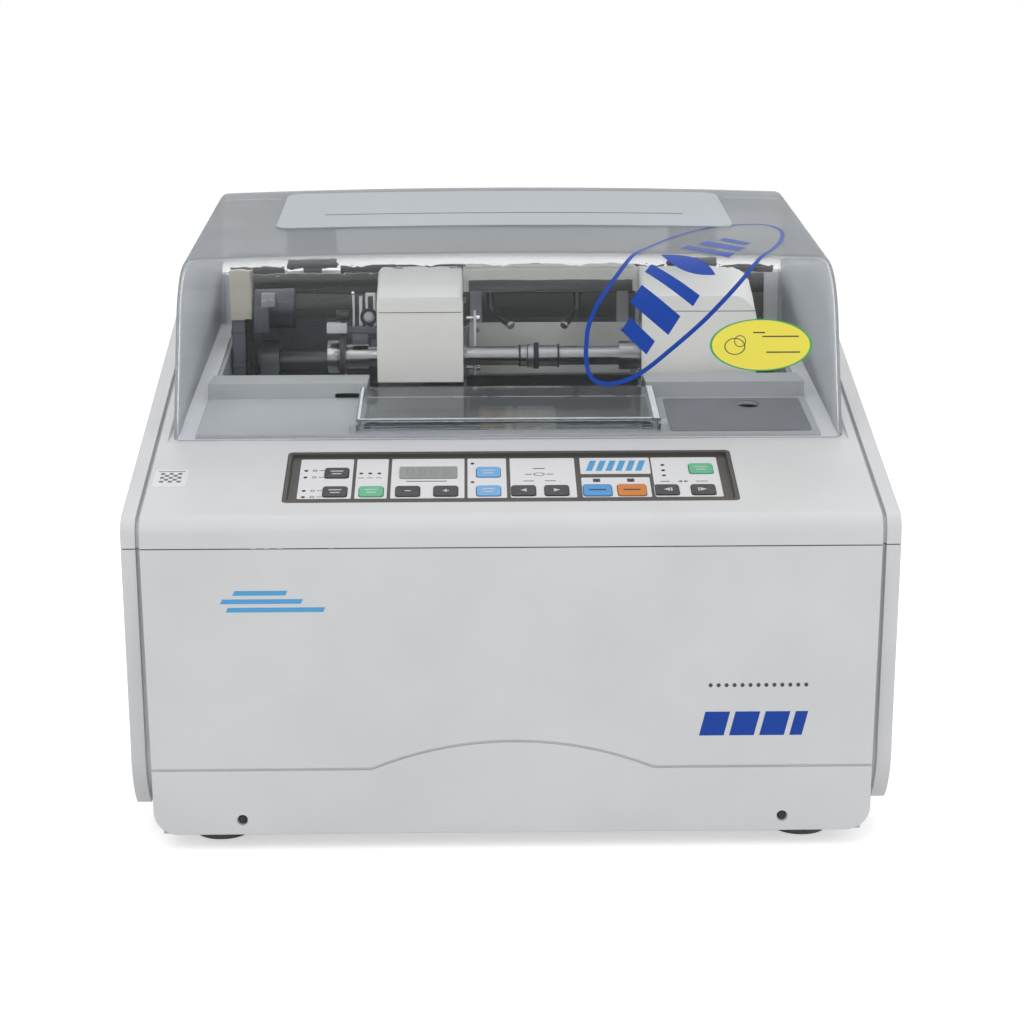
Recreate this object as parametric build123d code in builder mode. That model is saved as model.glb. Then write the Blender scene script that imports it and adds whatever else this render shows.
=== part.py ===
from build123d import *
from math import cos, radians, sin, tan
import os

os.makedirs("parts", exist_ok=True)

# Bench lens edger, millimetres. X to the right, the front faces -Y, Z up from the bench.

# ---------------------------------------------------------------- overall sizes
WIDTH = 560                 # over the side wings
CASING_DEPTH = 482          # front cover to rear panel
FITTING_REACH = 18          # hose barbs behind the rear panel
FRONT = -(CASING_DEPTH + FITTING_REACH) / 2
BACK = FRONT + CASING_DEPTH
WALL = 3
FIT = 0.3                   # gap between pieces that seat on each other
RUN = 0.05                  # radial clearance of a turning or sliding fit

# ---------------------------------------------------------------- casing
FOOT_HEIGHT = 13
FOOT_RADIUS = 19
FOOT_X = 217
FOOT_INSET = 45
BASE_THICK = 4
SEAM_Z = 228
DECK_SLOPE = 15.5           # degrees
DECK_RISE = 19.5            # deck line above the seam, at the front
NOSE_RADIUS = 15
WING_WIDTH = 10.5
WING_SETBACK = 2
WING_TOE_Y = 15             # front edge of a wing low down, behind the front cover
WING_TOE_Z = 79
WING_HEEL_Y = 40
WING_BOTTOM_Z = 25
GROOVE_WIDTH = 3
GROOVE_DEPTH = 5
COVER_DRAFT = 4             # the front cover is this much narrower each side at its foot
COVER_CORNER = 18
ARCH_FLAT_Z = 61.5
ARCH_TOP_Z = 82
ARCH_HALF_SPAN = 103
LINE_WIDTH = 1.8            # moulded line on the front cover
LINE_DEPTH = 1.4
COVER_SCREW_X = 198
COVER_SCREW_Z = 24
COVER_SCREW_R = 4
SCREW_R = 2

POCKET_Y = FRONT + 125      # lid pocket
POCKET_SIDE = 9.5           # from the core's side to the pocket's
SEAT_SLOPE = 7.7            # degrees
COWL_THICK = 12
COWL_Y = BACK - COWL_THICK
LEDGE_SIDE = 20             # ledge that the lid sits on, at each side
LEDGE_BACK = 8
BAY_FRONT = FRONT + 135
BAY_BACK = COWL_Y - LEDGE_BACK

CORE_HALF = WIDTH / 2 - WING_WIDTH
POCKET_HALF = CORE_HALF - POCKET_SIDE
BAY_HALF = POCKET_HALF - LEDGE_SIDE      # opening under the lid
COVER_HALF = CORE_HALF - GROOVE_WIDTH
DECK_Z = SEAM_Z + DECK_RISE
BASE_TOP = FOOT_HEIGHT + BASE_THICK


def deck_z(y):
    """Height of the deck's outer line at a depth."""
    return DECK_Z + (y - FRONT) * tan(radians(DECK_SLOPE))


def seat_z(y):
    """Height of the ledge that the lid rests over."""
    return deck_z(POCKET_Y) + (y - POCKET_Y) * tan(radians(SEAT_SLOPE))


def ledge_low(y):
    """Underside of the ledge below the lid seat."""
    return seat_z(y) - WALL / cos(radians(SEAT_SLOPE))


def save(part, name):
    """Label a finished piece and write its file."""
    part.part.label = name
    export_step(part.part, f"parts/{name}.step")


def hood_outline(front_inset, top_inset, x=0, back=BACK, low=SEAM_Z):
    """Side outline of the hood: front face, rounded nose and sloping deck."""
    front = FRONT + front_inset
    drop = top_inset / cos(radians(DECK_SLOPE))
    with BuildSketch(Plane.YZ.offset(x), mode=Mode.PRIVATE) as outline:
        with BuildLine():
            Polyline((front, low), (front, deck_z(front) - drop), (back, deck_z(back) - drop),
                     (back, low), close=True)
        make_face()
        nose = outline.vertices().group_by(Axis.X)[0].sort_by(Axis.Y)[-1]
        fillet(nose, max(NOSE_RADIUS - front_inset, 2))
    return outline.sketch


def wing_outline(inset, x=0, back=BACK, top=SEAM_Z):
    """Side outline of a lower wing, with its swept toe and rounded heel."""
    with BuildSketch(Plane.YZ.offset(x), mode=Mode.PRIVATE) as outline:
        with BuildLine():
            upper = (FRONT + WING_SETBACK + inset, top)
            toe = (FRONT + WING_TOE_Y + inset, WING_TOE_Z)
            heel = (FRONT + WING_HEEL_Y + inset, WING_BOTTOM_Z + inset)
            Polyline((back, heel[1]), (back, top), upper, toe)
            middle = (FRONT + WING_TOE_Y + inset + 6, WING_TOE_Z - 32)
            ThreePointArc(toe, middle, heel)
            Line(heel, (back, heel[1]))
        make_face()
    return outline.sketch


# ---------------------------------------------------------------- upper casing
SIDE_FLOOR = GROOVE_DEPTH + WALL    # depth of the side channels below the deck
BEZEL_WIDTH = 333
BEZEL_HEIGHT = 83.5
BEZEL_UP = 71.1             # centre of the key panel up the deck from the nose line
BEZEL_CORNER = 4
BEZEL_FIT = 0.2
DECK_PLANE = Plane(origin=(0, FRONT, DECK_Z), x_dir=(1, 0, 0),
                   z_dir=(0, -sin(radians(DECK_SLOPE)), cos(radians(DECK_SLOPE))))

with BuildPart() as upper_casing:
    extrude(hood_outline(0, 0), amount=CORE_HALF, both=True)
    for side in (-1, 1):
        extrude(hood_outline(WING_SETBACK, 0, side * CORE_HALF), amount=side * WING_WIDTH)
    for side in (-1, 1):
        groove = hood_outline(-1, -1, side * COVER_HALF) - hood_outline(
            GROOVE_DEPTH, GROOVE_DEPTH, side * COVER_HALF, back=BACK + 1, low=SEAM_Z - 1)
        extrude(groove, amount=side * GROOVE_WIDTH, mode=Mode.SUBTRACT)
    # hollow below the deck, up to the lid seat and into the rear cowl
    cowl_inner = COWL_Y + WALL
    with BuildSketch(Plane.YZ) as cavity:
        with BuildLine():
            ceiling = WALL / cos(radians(DECK_SLOPE))
            turn = POCKET_Y + WALL
            Polyline((FRONT + WALL, SEAM_Z - 1), (FRONT + WALL, deck_z(FRONT + WALL) - ceiling),
                     (POCKET_Y, deck_z(POCKET_Y) - ceiling), (turn, ledge_low(turn)),
                     (cowl_inner, ledge_low(cowl_inner)),
                     (cowl_inner, deck_z(cowl_inner) - SIDE_FLOOR),
                     (BACK - WALL, deck_z(BACK - WALL) - SIDE_FLOOR), (BACK - WALL, SEAM_Z - 1),
                     close=True)
        make_face()
        fillet(cavity.vertices().group_by(Axis.X)[0].sort_by(Axis.Y)[-1], NOSE_RADIUS - WALL)
    extrude(amount=POCKET_HALF + WALL, both=True, mode=Mode.SUBTRACT)
    for side in (-1, 1):
        channel = hood_outline(SIDE_FLOOR, SIDE_FLOOR, side * POCKET_HALF + side * WALL,
                               back=BACK - WALL, low=SEAM_Z - 1)
        extrude(channel, amount=side * (WIDTH / 2 - POCKET_HALF - 2 * WALL), mode=Mode.SUBTRACT)
    # lid pocket over the seat, and the opening through it
    with BuildSketch(Plane.YZ):
        with BuildLine():
            Polyline((POCKET_Y, seat_z(POCKET_Y)), (COWL_Y, seat_z(COWL_Y)),
                     (COWL_Y, deck_z(COWL_Y) + 20), (POCKET_Y, deck_z(COWL_Y) + 20), close=True)
        make_face()
    extrude(amount=POCKET_HALF, both=True, mode=Mode.SUBTRACT)
    with BuildSketch(Plane.XY.offset(SEAM_Z)):
        with Locations((0, (BAY_FRONT + BAY_BACK) / 2)):
            Rectangle(2 * BAY_HALF, BAY_BACK - BAY_FRONT)
    extrude(amount=200, mode=Mode.SUBTRACT)
    # window for the key panel
    with BuildSketch(DECK_PLANE):
        with Locations((0, BEZEL_UP)):
            RectangleRounded(BEZEL_WIDTH + 2 * BEZEL_FIT, BEZEL_HEIGHT + 2 * BEZEL_FIT, BEZEL_CORNER)
    extrude(amount=-3 * WALL, mode=Mode.SUBTRACT)
save(upper_casing, "upper_casing")

# ---------------------------------------------------------------- lower casing
COVER_PLANE = Plane(origin=(0, FRONT, 0), x_dir=(1, 0, 0), z_dir=(0, -1, 0))
REAR_PLANE = Plane(origin=(0, BACK, 0), x_dir=(1, 0, 0), z_dir=(0, -1, 0))
LOWER_GAP = 0.8             # shadow gap at the seam
LOWER_TOP = SEAM_Z - LOWER_GAP


def cover_outline(inset, low):
    """Front outline of the drafted front cover, set in by a wall."""
    with BuildSketch(COVER_PLANE, mode=Mode.PRIVATE) as outline:
        with BuildLine():
            foot = COVER_HALF - COVER_DRAFT - inset
            head = COVER_HALF - inset
            Polyline((-foot, low), (-head, LOWER_TOP), (head, LOWER_TOP), (foot, low), close=True)
        make_face()
        if inset == 0:
            fillet(outline.vertices().group_by(Axis.Y)[0], COVER_CORNER)
    return outline.sketch


with BuildPart() as lower_casing:
    extrude(cover_outline(0, FOOT_HEIGHT), amount=-CASING_DEPTH)
    for side in (-1, 1):
        inner_x = side * (COVER_HALF - COVER_DRAFT - WALL)
        extrude(wing_outline(GROOVE_DEPTH, inner_x, top=LOWER_TOP),
                amount=side * (CORE_HALF - abs(inner_x)))
        extrude(wing_outline(0, side * CORE_HALF, top=LOWER_TOP), amount=side * WING_WIDTH)
    # inside: between the drafted walls, and into both wings
    with BuildSketch(Plane.XY.offset(FOOT_HEIGHT - 1)):
        with Locations((0, FRONT + WALL)):
            Rectangle(2 * (COVER_HALF - COVER_DRAFT - 2 * WALL), CASING_DEPTH,
                      align=(Align.CENTER, Align.MIN))
    extrude(amount=SEAM_Z, mode=Mode.SUBTRACT)
    for side in (-1, 1):
        pocket = wing_outline(SIDE_FLOOR, side * (COVER_HALF - COVER_DRAFT - 2 * WALL),
                              back=BACK + 1, top=SEAM_Z + 1)
        extrude(pocket, amount=side * (WIDTH / 2 - WALL - COVER_HALF + COVER_DRAFT + 2 * WALL),
                mode=Mode.SUBTRACT)
    # moulded line that rises over the middle of the front cover
    with BuildSketch(COVER_PLANE):
        with BuildLine():
            Polyline((-WIDTH / 2, ARCH_FLAT_Z), (-ARCH_HALF_SPAN, ARCH_FLAT_Z))
            ThreePointArc((-ARCH_HALF_SPAN, ARCH_FLAT_Z), (0, ARCH_TOP_Z), (ARCH_HALF_SPAN, ARCH_FLAT_Z))
            Polyline((ARCH_HALF_SPAN, ARCH_FLAT_Z), (WIDTH / 2, ARCH_FLAT_Z),
                     (WIDTH / 2, ARCH_FLAT_Z + LINE_WIDTH), (ARCH_HALF_SPAN, ARCH_FLAT_Z + LINE_WIDTH))
            ThreePointArc((ARCH_HALF_SPAN, ARCH_FLAT_Z + LINE_WIDTH), (0, ARCH_TOP_Z + LINE_WIDTH),
                          (-ARCH_HALF_SPAN, ARCH_FLAT_Z + LINE_WIDTH))
            Polyline((-ARCH_HALF_SPAN, ARCH_FLAT_Z + LINE_WIDTH),
                     (-WIDTH / 2, ARCH_FLAT_Z + LINE_WIDTH), (-WIDTH / 2, ARCH_FLAT_Z))
        make_face()
    extrude(amount=-LINE_DEPTH, mode=Mode.SUBTRACT)
    with BuildSketch(COVER_PLANE):
        with Locations((-COVER_SCREW_X, COVER_SCREW_Z), (COVER_SCREW_X, COVER_SCREW_Z)):
            Circle(COVER_SCREW_R)
    extrude(amount=-2 * WALL, mode=Mode.SUBTRACT)
save(lower_casing, "lower_casing")

# ---------------------------------------------------------------- base and feet
BASE_HALF = COVER_HALF - COVER_DRAFT - 2 * WALL - FIT
BASE_FRONT = FRONT + WALL + FIT
BASE_BACK = BACK - WALL - FIT
FLANGE_THICK = 3
FLANGE_TOP = 38

with BuildPart() as base_plate:
    with BuildSketch(Plane.XY.offset(FOOT_HEIGHT)):
        with Locations((0, BASE_FRONT)):
            Rectangle(2 * BASE_HALF, BASE_BACK - BASE_FRONT, align=(Align.CENTER, Align.MIN))
    extrude(amount=BASE_THICK)
    with BuildSketch(Plane.XY.offset(BASE_TOP)):
        with Locations((0, BASE_FRONT)):
            Rectangle(2 * BASE_HALF, FLANGE_THICK, align=(Align.CENTER, Align.MIN))
        with Locations((0, BASE_BACK)):
            Rectangle(2 * BASE_HALF, FLANGE_THICK, align=(Align.CENTER, Align.MAX))
    extrude(amount=FLANGE_TOP - BASE_TOP)
    with BuildSketch(COVER_PLANE):
        with Locations((-COVER_SCREW_X, COVER_SCREW_Z), (COVER_SCREW_X, COVER_SCREW_Z)):
            Circle(SCREW_R + RUN)
    extrude(amount=-3 * WALL, mode=Mode.SUBTRACT)
    # louvres under the motor
    with BuildSketch(Plane.XY.offset(FOOT_HEIGHT)):
        with GridLocations(14, 0, 12, 1):
            SlotOverall(60, 5, rotation=90)
    extrude(amount=BASE_THICK, mode=Mode.SUBTRACT)
save(base_plate, "base_plate")

with BuildPart() as rubber_feet:
    with BuildSketch(Plane.XY):
        with GridLocations(2 * FOOT_X, CASING_DEPTH - 2 * FOOT_INSET, 2, 2):
            with Locations((0, FRONT + CASING_DEPTH / 2)):
                Circle(FOOT_RADIUS)
    extrude(amount=FOOT_HEIGHT, taper=-4)
save(rubber_feet, "rubber_feet")

# ---------------------------------------------------------------- key panel
BEZEL_RIM = 3
BEZEL_LIP = 5               # flange under the deck, beyond the window
PANEL_DEPTH = WALL          # key floor below the deck surface
KEY_FLOOR = 2
KEY_FLANGE = 1.1
KEY_STAND = 1.0             # key top above the floor
KEY_TRAVEL = 0.5
KEY_FIT = 0.15
KEY_REST = 0.1              # running gap of a key flange below the floor
KEY_W, KEY_H = 17.6, 16.2
KEY_W_WIDE, KEY_H_WIDE = 20.8, 18
LOWER_ROW = 51.5            # up the deck
UPPER_ROW = 82.2
KEY_CORNER = 2.5
BOARD_THICK = 1.6
LAMP_R = 1.2
KEYS = {
    "key_field_upper": (-129, UPPER_ROW, KEY_W, KEY_H),
    "key_field_lower": (-129, LOWER_ROW, KEY_W, KEY_H),
    "key_green_left": (-102.4, LOWER_ROW, KEY_W, KEY_H),
    "key_minus": (-75.6, LOWER_ROW, KEY_W, KEY_H),
    "key_plus": (-47.7, LOWER_ROW, KEY_W, KEY_H),
    "key_blue_upper": (-16.2, UPPER_ROW, KEY_W, KEY_H),
    "key_blue_lower": (-16.2, LOWER_ROW, KEY_W, KEY_H),
    "key_arrow_left": (9.5, LOWER_ROW, KEY_W, KEY_H),
    "key_arrow_right": (33.9, LOWER_ROW, KEY_W, KEY_H),
    "key_blue_wide": (63.9, LOWER_ROW, KEY_W_WIDE, KEY_H_WIDE),
    "key_orange_wide": (89.2, LOWER_ROW, KEY_W_WIDE, KEY_H_WIDE),
    "key_arrow_in": (114.9, LOWER_ROW, KEY_W, KEY_H),
    "key_arrow_out": (141.8, LOWER_ROW, KEY_W, KEY_H),
    "key_green_right": (142.8, UPPER_ROW + 4, KEY_W, KEY_H),
}
LAMPS = [(-152, 87), (-152, 76), (-152, 54), (-152, 44), (-110.8, 82), (-104.2, 82), (-97.4, 82),
         (-28, 97.5), (-28, 66.6), (63.9, 67), (89.2, 67), (114.5, 93.3), (114.5, 84.4), (114.5, 75.9)]
DISPLAY_AT = (-60.8, UPPER_ROW)
DISPLAY_W, DISPLAY_H = 42.8, 19.2
DISPLAY_THICK = 0.8
CONTROL_W, CONTROL_D = 180, 90
CONTROL_X, CONTROL_Y = 0, FRONT + 70
CONTROL_STAND = 10

floor_top = -PANEL_DEPTH
floor_low = floor_top - KEY_FLOOR
flange_top = floor_low - KEY_REST
flange_low = flange_top - KEY_FLANGE
board_top = flange_low - KEY_TRAVEL - KEY_REST

with BuildPart() as console_bezel:
    with BuildSketch(DECK_PLANE.offset(board_top)):
        with Locations((0, BEZEL_UP)):
            RectangleRounded(BEZEL_WIDTH + 2 * BEZEL_LIP, BEZEL_HEIGHT + 2 * BEZEL_LIP, BEZEL_CORNER)
    extrude(amount=floor_top - board_top)
    with BuildSketch(DECK_PLANE.offset(floor_top)):
        with Locations((0, BEZEL_UP)):
            RectangleRounded(BEZEL_WIDTH, BEZEL_HEIGHT, BEZEL_CORNER)
            RectangleRounded(BEZEL_WIDTH - 2 * BEZEL_RIM, BEZEL_HEIGHT - 2 * BEZEL_RIM, BEZEL_CORNER - 1,
                             mode=Mode.SUBTRACT)
    extrude(amount=PANEL_DEPTH - BEZEL_FIT)
    with BuildSketch(DECK_PLANE.offset(board_top)):
        with Locations((0, BEZEL_UP)):
            Rectangle(BEZEL_WIDTH - 2 * BEZEL_LIP, BEZEL_HEIGHT - 2 * BEZEL_LIP)
    extrude(amount=floor_low - board_top, mode=Mode.SUBTRACT)
    with BuildSketch(DECK_PLANE.offset(floor_low)):
        for across, up, wide, high in KEYS.values():
            with Locations((across, up)):
                RectangleRounded(wide + 2 * KEY_FIT, high + 2 * KEY_FIT, KEY_CORNER)
        with Locations(*LAMPS):
            Circle(LAMP_R + KEY_FIT)
    extrude(amount=KEY_FLOOR, mode=Mode.SUBTRACT)
save(console_bezel, "console_bezel")

for name, (across, up, wide, high) in KEYS.items():
    with BuildPart() as key:
        with BuildSketch(DECK_PLANE.offset(flange_low)):
            with Locations((across, up)):
                Rectangle(wide + 3, high + 3)
        extrude(amount=KEY_FLANGE)
        with BuildSketch(DECK_PLANE.offset(flange_top)):
            with Locations((across, up)):
                RectangleRounded(wide, high, KEY_CORNER - KEY_FIT)
        extrude(amount=floor_top + KEY_STAND - flange_top)
    save(key, name)

with BuildPart() as indicator_lamps:
    with BuildSketch(DECK_PLANE.offset(board_top)):
        with Locations(*LAMPS):
            Circle(LAMP_R)
    extrude(amount=floor_top + 0.4 - board_top)
save(indicator_lamps, "indicator_lamps")

with BuildPart() as display_window:
    with BuildSketch(DECK_PLANE.offset(floor_top)):
        with Locations(DISPLAY_AT):
            RectangleRounded(DISPLAY_W, DISPLAY_H, 1)
    extrude(amount=DISPLAY_THICK)
save(display_window, "display_window")

# ---------------------------------------------------------------- inner deck
DECK_SHEET = 2.5            # wall of the inner deck moulding
INNER_FIT = 0.5             # gap of the inner deck inside the casing opening
INNER_RISE = 2.5            # inner deck above the lid seat
STEP_Y = FRONT + 230
STEP_Z = 311
STEP_BACK = FRONT + 276
FLOOR_Z = 250
TUB_HALF = 112
TUB_WALL = 3
TUB_BACK = FRONT + 372
SLOT_X, SLOT_Z = -128, 301
SLOT_WIDTH, SLOT_HEIGHT = 20, 4
RECESS_X, RECESS_Y = BAY_HALF - 48, FRONT + 208
RECESS_R = 9

INNER_HALF = BAY_HALF - INNER_FIT
INNER_FRONT = BAY_FRONT + INNER_FIT
INNER_BACK = BAY_BACK - INNER_FIT
TUB_FRONT = INNER_FRONT + DECK_SHEET + FIT + TUB_WALL
DOOR_FRONT = FRONT + 141
MOUTH_FRONT = DOOR_FRONT + 5
WHEEL_Y = FRONT + 312
WHEEL_Z = 226
STAGE_X = -165              # column of the size stage, through the bay floor
STAGE_R = 8


def inner_z(y):
    """Height of the inner deck plateau at a depth."""
    return seat_z(y) + INNER_RISE


DOOR_HALF = 117
DOOR_BACK = STEP_Y - FIT
DOOR_HEIGHT = 10
DOOR_WALL = 2.5
DOOR_PIN_R = 2
DOOR_AXIS_UP = 6
DOOR_AXIS_IN = 3
EAR_THICK = 5
door_plane = Plane(origin=(0, DOOR_FRONT, inner_z(DOOR_FRONT)), x_dir=(1, 0, 0),
                   z_dir=(0, -sin(radians(SEAT_SLOPE)), cos(radians(SEAT_SLOPE))))
door_length = (DOOR_BACK - DOOR_FRONT) / cos(radians(SEAT_SLOPE))
door_side = Plane(origin=door_plane.origin, x_dir=door_plane.y_dir, z_dir=(1, 0, 0))


with BuildPart() as inner_deck:
    low = FLOOR_Z - DECK_SHEET
    # plateau and raised step
    with BuildSketch(Plane.YZ):
        with BuildLine():
            Polyline((INNER_FRONT, low), (INNER_FRONT, inner_z(INNER_FRONT)), (STEP_Y, inner_z(STEP_Y)),
                     (STEP_Y, STEP_Z), (STEP_BACK, STEP_Z), (STEP_BACK, low), close=True)
        make_face()
    extrude(amount=INNER_HALF, both=True)
    # bay behind the step
    with BuildSketch(Plane.YZ):
        with BuildLine():
            Polyline((STEP_BACK, low), (STEP_BACK, ledge_low(STEP_BACK)),
                     (INNER_BACK, ledge_low(INNER_BACK)), (INNER_BACK, low), close=True)
        make_face()
    extrude(amount=INNER_HALF, both=True)
    with BuildSketch(Plane.XY.offset(FLOOR_Z)):
        with Locations((0, STEP_BACK)):
            Rectangle(2 * (INNER_HALF - DECK_SHEET), INNER_BACK - DECK_SHEET - STEP_BACK,
                      align=(Align.CENTER, Align.MIN))
    extrude(amount=100, mode=Mode.SUBTRACT)
    # flange under the seat ledge
    with BuildSketch(Plane.YZ):
        with BuildLine():
            lip_front, lip_back = BAY_FRONT - 7, BAY_BACK + 7
            Polyline((lip_front, ledge_low(lip_front)), (lip_back, ledge_low(lip_back)),
                     (lip_back, ledge_low(lip_back) - DECK_SHEET),
                     (lip_front, ledge_low(lip_front) - DECK_SHEET), close=True)
        make_face()
    extrude(amount=BAY_HALF + 8, both=True)
    # hollow below the plateau and the step
    with BuildSketch(Plane.YZ):
        with BuildLine():
            inside = INNER_FRONT + DECK_SHEET
            Polyline((inside, low - 1), (inside, inner_z(inside) - DECK_SHEET),
                     (STEP_Y + DECK_SHEET, inner_z(STEP_Y + DECK_SHEET) - DECK_SHEET),
                     (STEP_Y + DECK_SHEET, STEP_Z - DECK_SHEET),
                     (STEP_BACK - DECK_SHEET, STEP_Z - DECK_SHEET), (STEP_BACK - DECK_SHEET, low - 1),
                     close=True)
        make_face()
    extrude(amount=INNER_HALF - DECK_SHEET, both=True, mode=Mode.SUBTRACT)
    with BuildSketch(Plane.XY.offset(FLOOR_Z)):
        with Locations((0, STEP_BACK)):
            Rectangle(2 * (INNER_HALF - DECK_SHEET), INNER_BACK - DECK_SHEET - STEP_BACK,
                      align=(Align.CENTER, Align.MIN))
    extrude(amount=100, mode=Mode.SUBTRACT)
    # mouth of the grinding chamber
    with BuildSketch(Plane.XY.offset(low - 1)):
        with Locations((0, MOUTH_FRONT)):
            Rectangle(2 * TUB_HALF, TUB_BACK - MOUTH_FRONT, align=(Align.CENTER, Align.MIN))
    extrude(amount=200, mode=Mode.SUBTRACT)
    # cable slot in the step and the finger recess on the right
    with BuildSketch(Plane(origin=(SLOT_X, STEP_Y - 1, SLOT_Z), x_dir=(1, 0, 0), z_dir=(0, -1, 0))):
        SlotOverall(SLOT_WIDTH, SLOT_HEIGHT)
    extrude(amount=-2 * DECK_SHEET, mode=Mode.SUBTRACT)
    with BuildSketch(Plane.XY.offset(inner_z(RECESS_Y) - 4 * DECK_SHEET)):
        with Locations((RECESS_X, RECESS_Y)):
            Circle(RECESS_R)
    extrude(amount=50, mode=Mode.SUBTRACT)
    with BuildSketch(Plane.XY.offset(low - 1)):
        with Locations((STAGE_X, WHEEL_Y)):
            Circle(STAGE_R + 1)
    extrude(amount=2 * DECK_SHEET, mode=Mode.SUBTRACT)
    # ears and pins of the chamber cover
    for side in (-1, 1):
        with BuildSketch(door_side.offset(side * (DOOR_HALF + FIT))):
            with BuildLine():
                up = DOOR_AXIS_UP
                Polyline((0, -1), (0, up), (DOOR_AXIS_IN, up + 3), (2 * DOOR_AXIS_IN + 2, up),
                         (2 * DOOR_AXIS_IN + 4, -1), close=True)
            make_face()
        extrude(amount=side * EAR_THICK)
        with BuildSketch(door_side.offset(side * (DOOR_HALF + FIT))):
            with Locations((DOOR_AXIS_IN, DOOR_AXIS_UP)):
                Circle(DOOR_PIN_R)
        extrude(amount=-side * DOOR_WALL)
save(inner_deck, "inner_deck")

# ---------------------------------------------------------------- grinding tub
TUB_LOW = 150
TUB_CORNER = 28
SPINDLE_R = 10
SPINDLE_SEAL = 2            # gap round the spindle where it enters the tub
DRAIN_X, DRAIN_Y = 75, FRONT + 250
DRAIN_R = 11

with BuildPart() as grinding_tub:
    step_face = STEP_BACK - DECK_SHEET - FIT
    with BuildSketch(Plane.YZ):
        with BuildLine():
            front = TUB_FRONT - TUB_WALL
            Polyline((front, TUB_LOW), (front, inner_z(front) - DECK_SHEET),
                     (STEP_Y + DECK_SHEET + FIT, inner_z(STEP_Y + DECK_SHEET + FIT) - DECK_SHEET),
                     (STEP_Y + DECK_SHEET + FIT, STEP_Z - DECK_SHEET), (step_face, STEP_Z - DECK_SHEET),
                     (step_face, FLOOR_Z - DECK_SHEET), (TUB_BACK + TUB_WALL, FLOOR_Z - DECK_SHEET),
                     (TUB_BACK + TUB_WALL, TUB_LOW), close=True)
        make_face()
    extrude(amount=TUB_HALF + TUB_WALL, both=True)
    with BuildSketch(Plane.YZ) as hollow:
        with Locations((TUB_FRONT, TUB_LOW + TUB_WALL)):
            Rectangle(TUB_BACK - TUB_FRONT, 200, align=(Align.MIN, Align.MIN))
        fillet(hollow.vertices().group_by(Axis.Y)[0], TUB_CORNER)
    extrude(amount=TUB_HALF, both=True, mode=Mode.SUBTRACT)
    with BuildSketch(Plane.YZ.offset(-TUB_HALF - 2 * TUB_WALL)):
        with Locations((WHEEL_Y, WHEEL_Z)):
            Circle(SPINDLE_R + SPINDLE_SEAL)
    extrude(amount=2 * (TUB_HALF + 2 * TUB_WALL), mode=Mode.SUBTRACT)
    with BuildSketch(Plane.XY.offset(TUB_LOW - 1)):
        with Locations((DRAIN_X, DRAIN_Y)):
            Circle(DRAIN_R)
    extrude(amount=2 * TUB_WALL, mode=Mode.SUBTRACT)
save(grinding_tub, "grinding_tub")

PIPE_WALL = 2.5
PIPE_BEND = 34
DRAIN_Z = 52
with BuildPart() as drain_pipe:
    with BuildLine():
        FilletPolyline((DRAIN_X, DRAIN_Y, TUB_LOW), (DRAIN_X, DRAIN_Y, DRAIN_Z), (DRAIN_X, BACK, DRAIN_Z),
                       radius=PIPE_BEND)
    with BuildSketch(Plane.XY.offset(TUB_LOW)):
        with Locations((DRAIN_X, DRAIN_Y)):
            Circle(DRAIN_R + PIPE_WALL)
            Circle(DRAIN_R, mode=Mode.SUBTRACT)
    sweep()
save(drain_pipe, "drain_pipe")

# ---------------------------------------------------------------- wheels and spindle
WHEEL_R = 50
WHEEL_START = -22
WHEELS = {"wheel_rough": (22,), "wheel_bevel": (16,), "wheels_fine": (14, 12)}   # places along the spindle
WHEEL_GAP = 0.2             # washer between two wheels
BEVEL_DEPTH = 2.5
BEVEL_WIDTH = 5
PEDESTAL_THICK = 12.5
PEDESTAL_HALF = 22
PULLEY_X = -150
PULLEY_WIDTH = 16
PULLEY_RIM = 3
RIM_THICK = 2
FLANGE_R, FLANGE_THICK = 22, 5
NUT_R, NUT_THICK = 15, 9
SPINDLE_PULLEY_R = 18
MOTOR_PULLEY_R = 22
MOTOR_Y = FRONT + 400
MOTOR_Z = 82
MOTOR_R = 52
MOTOR_SHAFT_R = 8
MOTOR_SHAFT_REACH = 30      # from the pulley into the motor
MOTOR_START = PULLEY_X + PULLEY_WIDTH + 8
MOTOR_LENGTH = 165
MOTOR_FOOT_IN = 25          # from each end of the motor to its foot
MOTOR_FOOT_WIDTH = 80
BELT_THICK = 3
BELT_WIDTH = 11


def shaft_plane(y, z):
    """Plane through a shaft's axis, its x along the shaft and its y straight up from it."""
    return Plane(origin=(0, y, z), x_dir=(1, 0, 0), z_dir=(0, -1, 0))


def shaft_axis(y, z):
    """Axis of a shaft that runs from side to side."""
    return Axis((0, y, z), (1, 0, 0))


spot = WHEEL_START
for name, widths in WHEELS.items():
    with BuildPart() as wheel:
        for width in widths:
            with BuildSketch(Plane.YZ.offset(spot)):
                with Locations((WHEEL_Y, WHEEL_Z)):
                    Circle(WHEEL_R)
                    Circle(SPINDLE_R, mode=Mode.SUBTRACT)
            extrude(amount=width - WHEEL_GAP)
            spot += width
        if name == "wheel_bevel":
            # V that leaves the bevel on the lens edge
            with BuildSketch(shaft_plane(WHEEL_Y, WHEEL_Z)):
                with BuildLine():
                    middle = spot - width / 2
                    Polyline((middle - BEVEL_WIDTH / 2, WHEEL_R), (middle, WHEEL_R - BEVEL_DEPTH),
                             (middle + BEVEL_WIDTH / 2, WHEEL_R), close=True)
                make_face()
            revolve(axis=shaft_axis(WHEEL_Y, WHEEL_Z), mode=Mode.SUBTRACT)
    save(wheel, name)
WHEEL_END = spot


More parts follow.
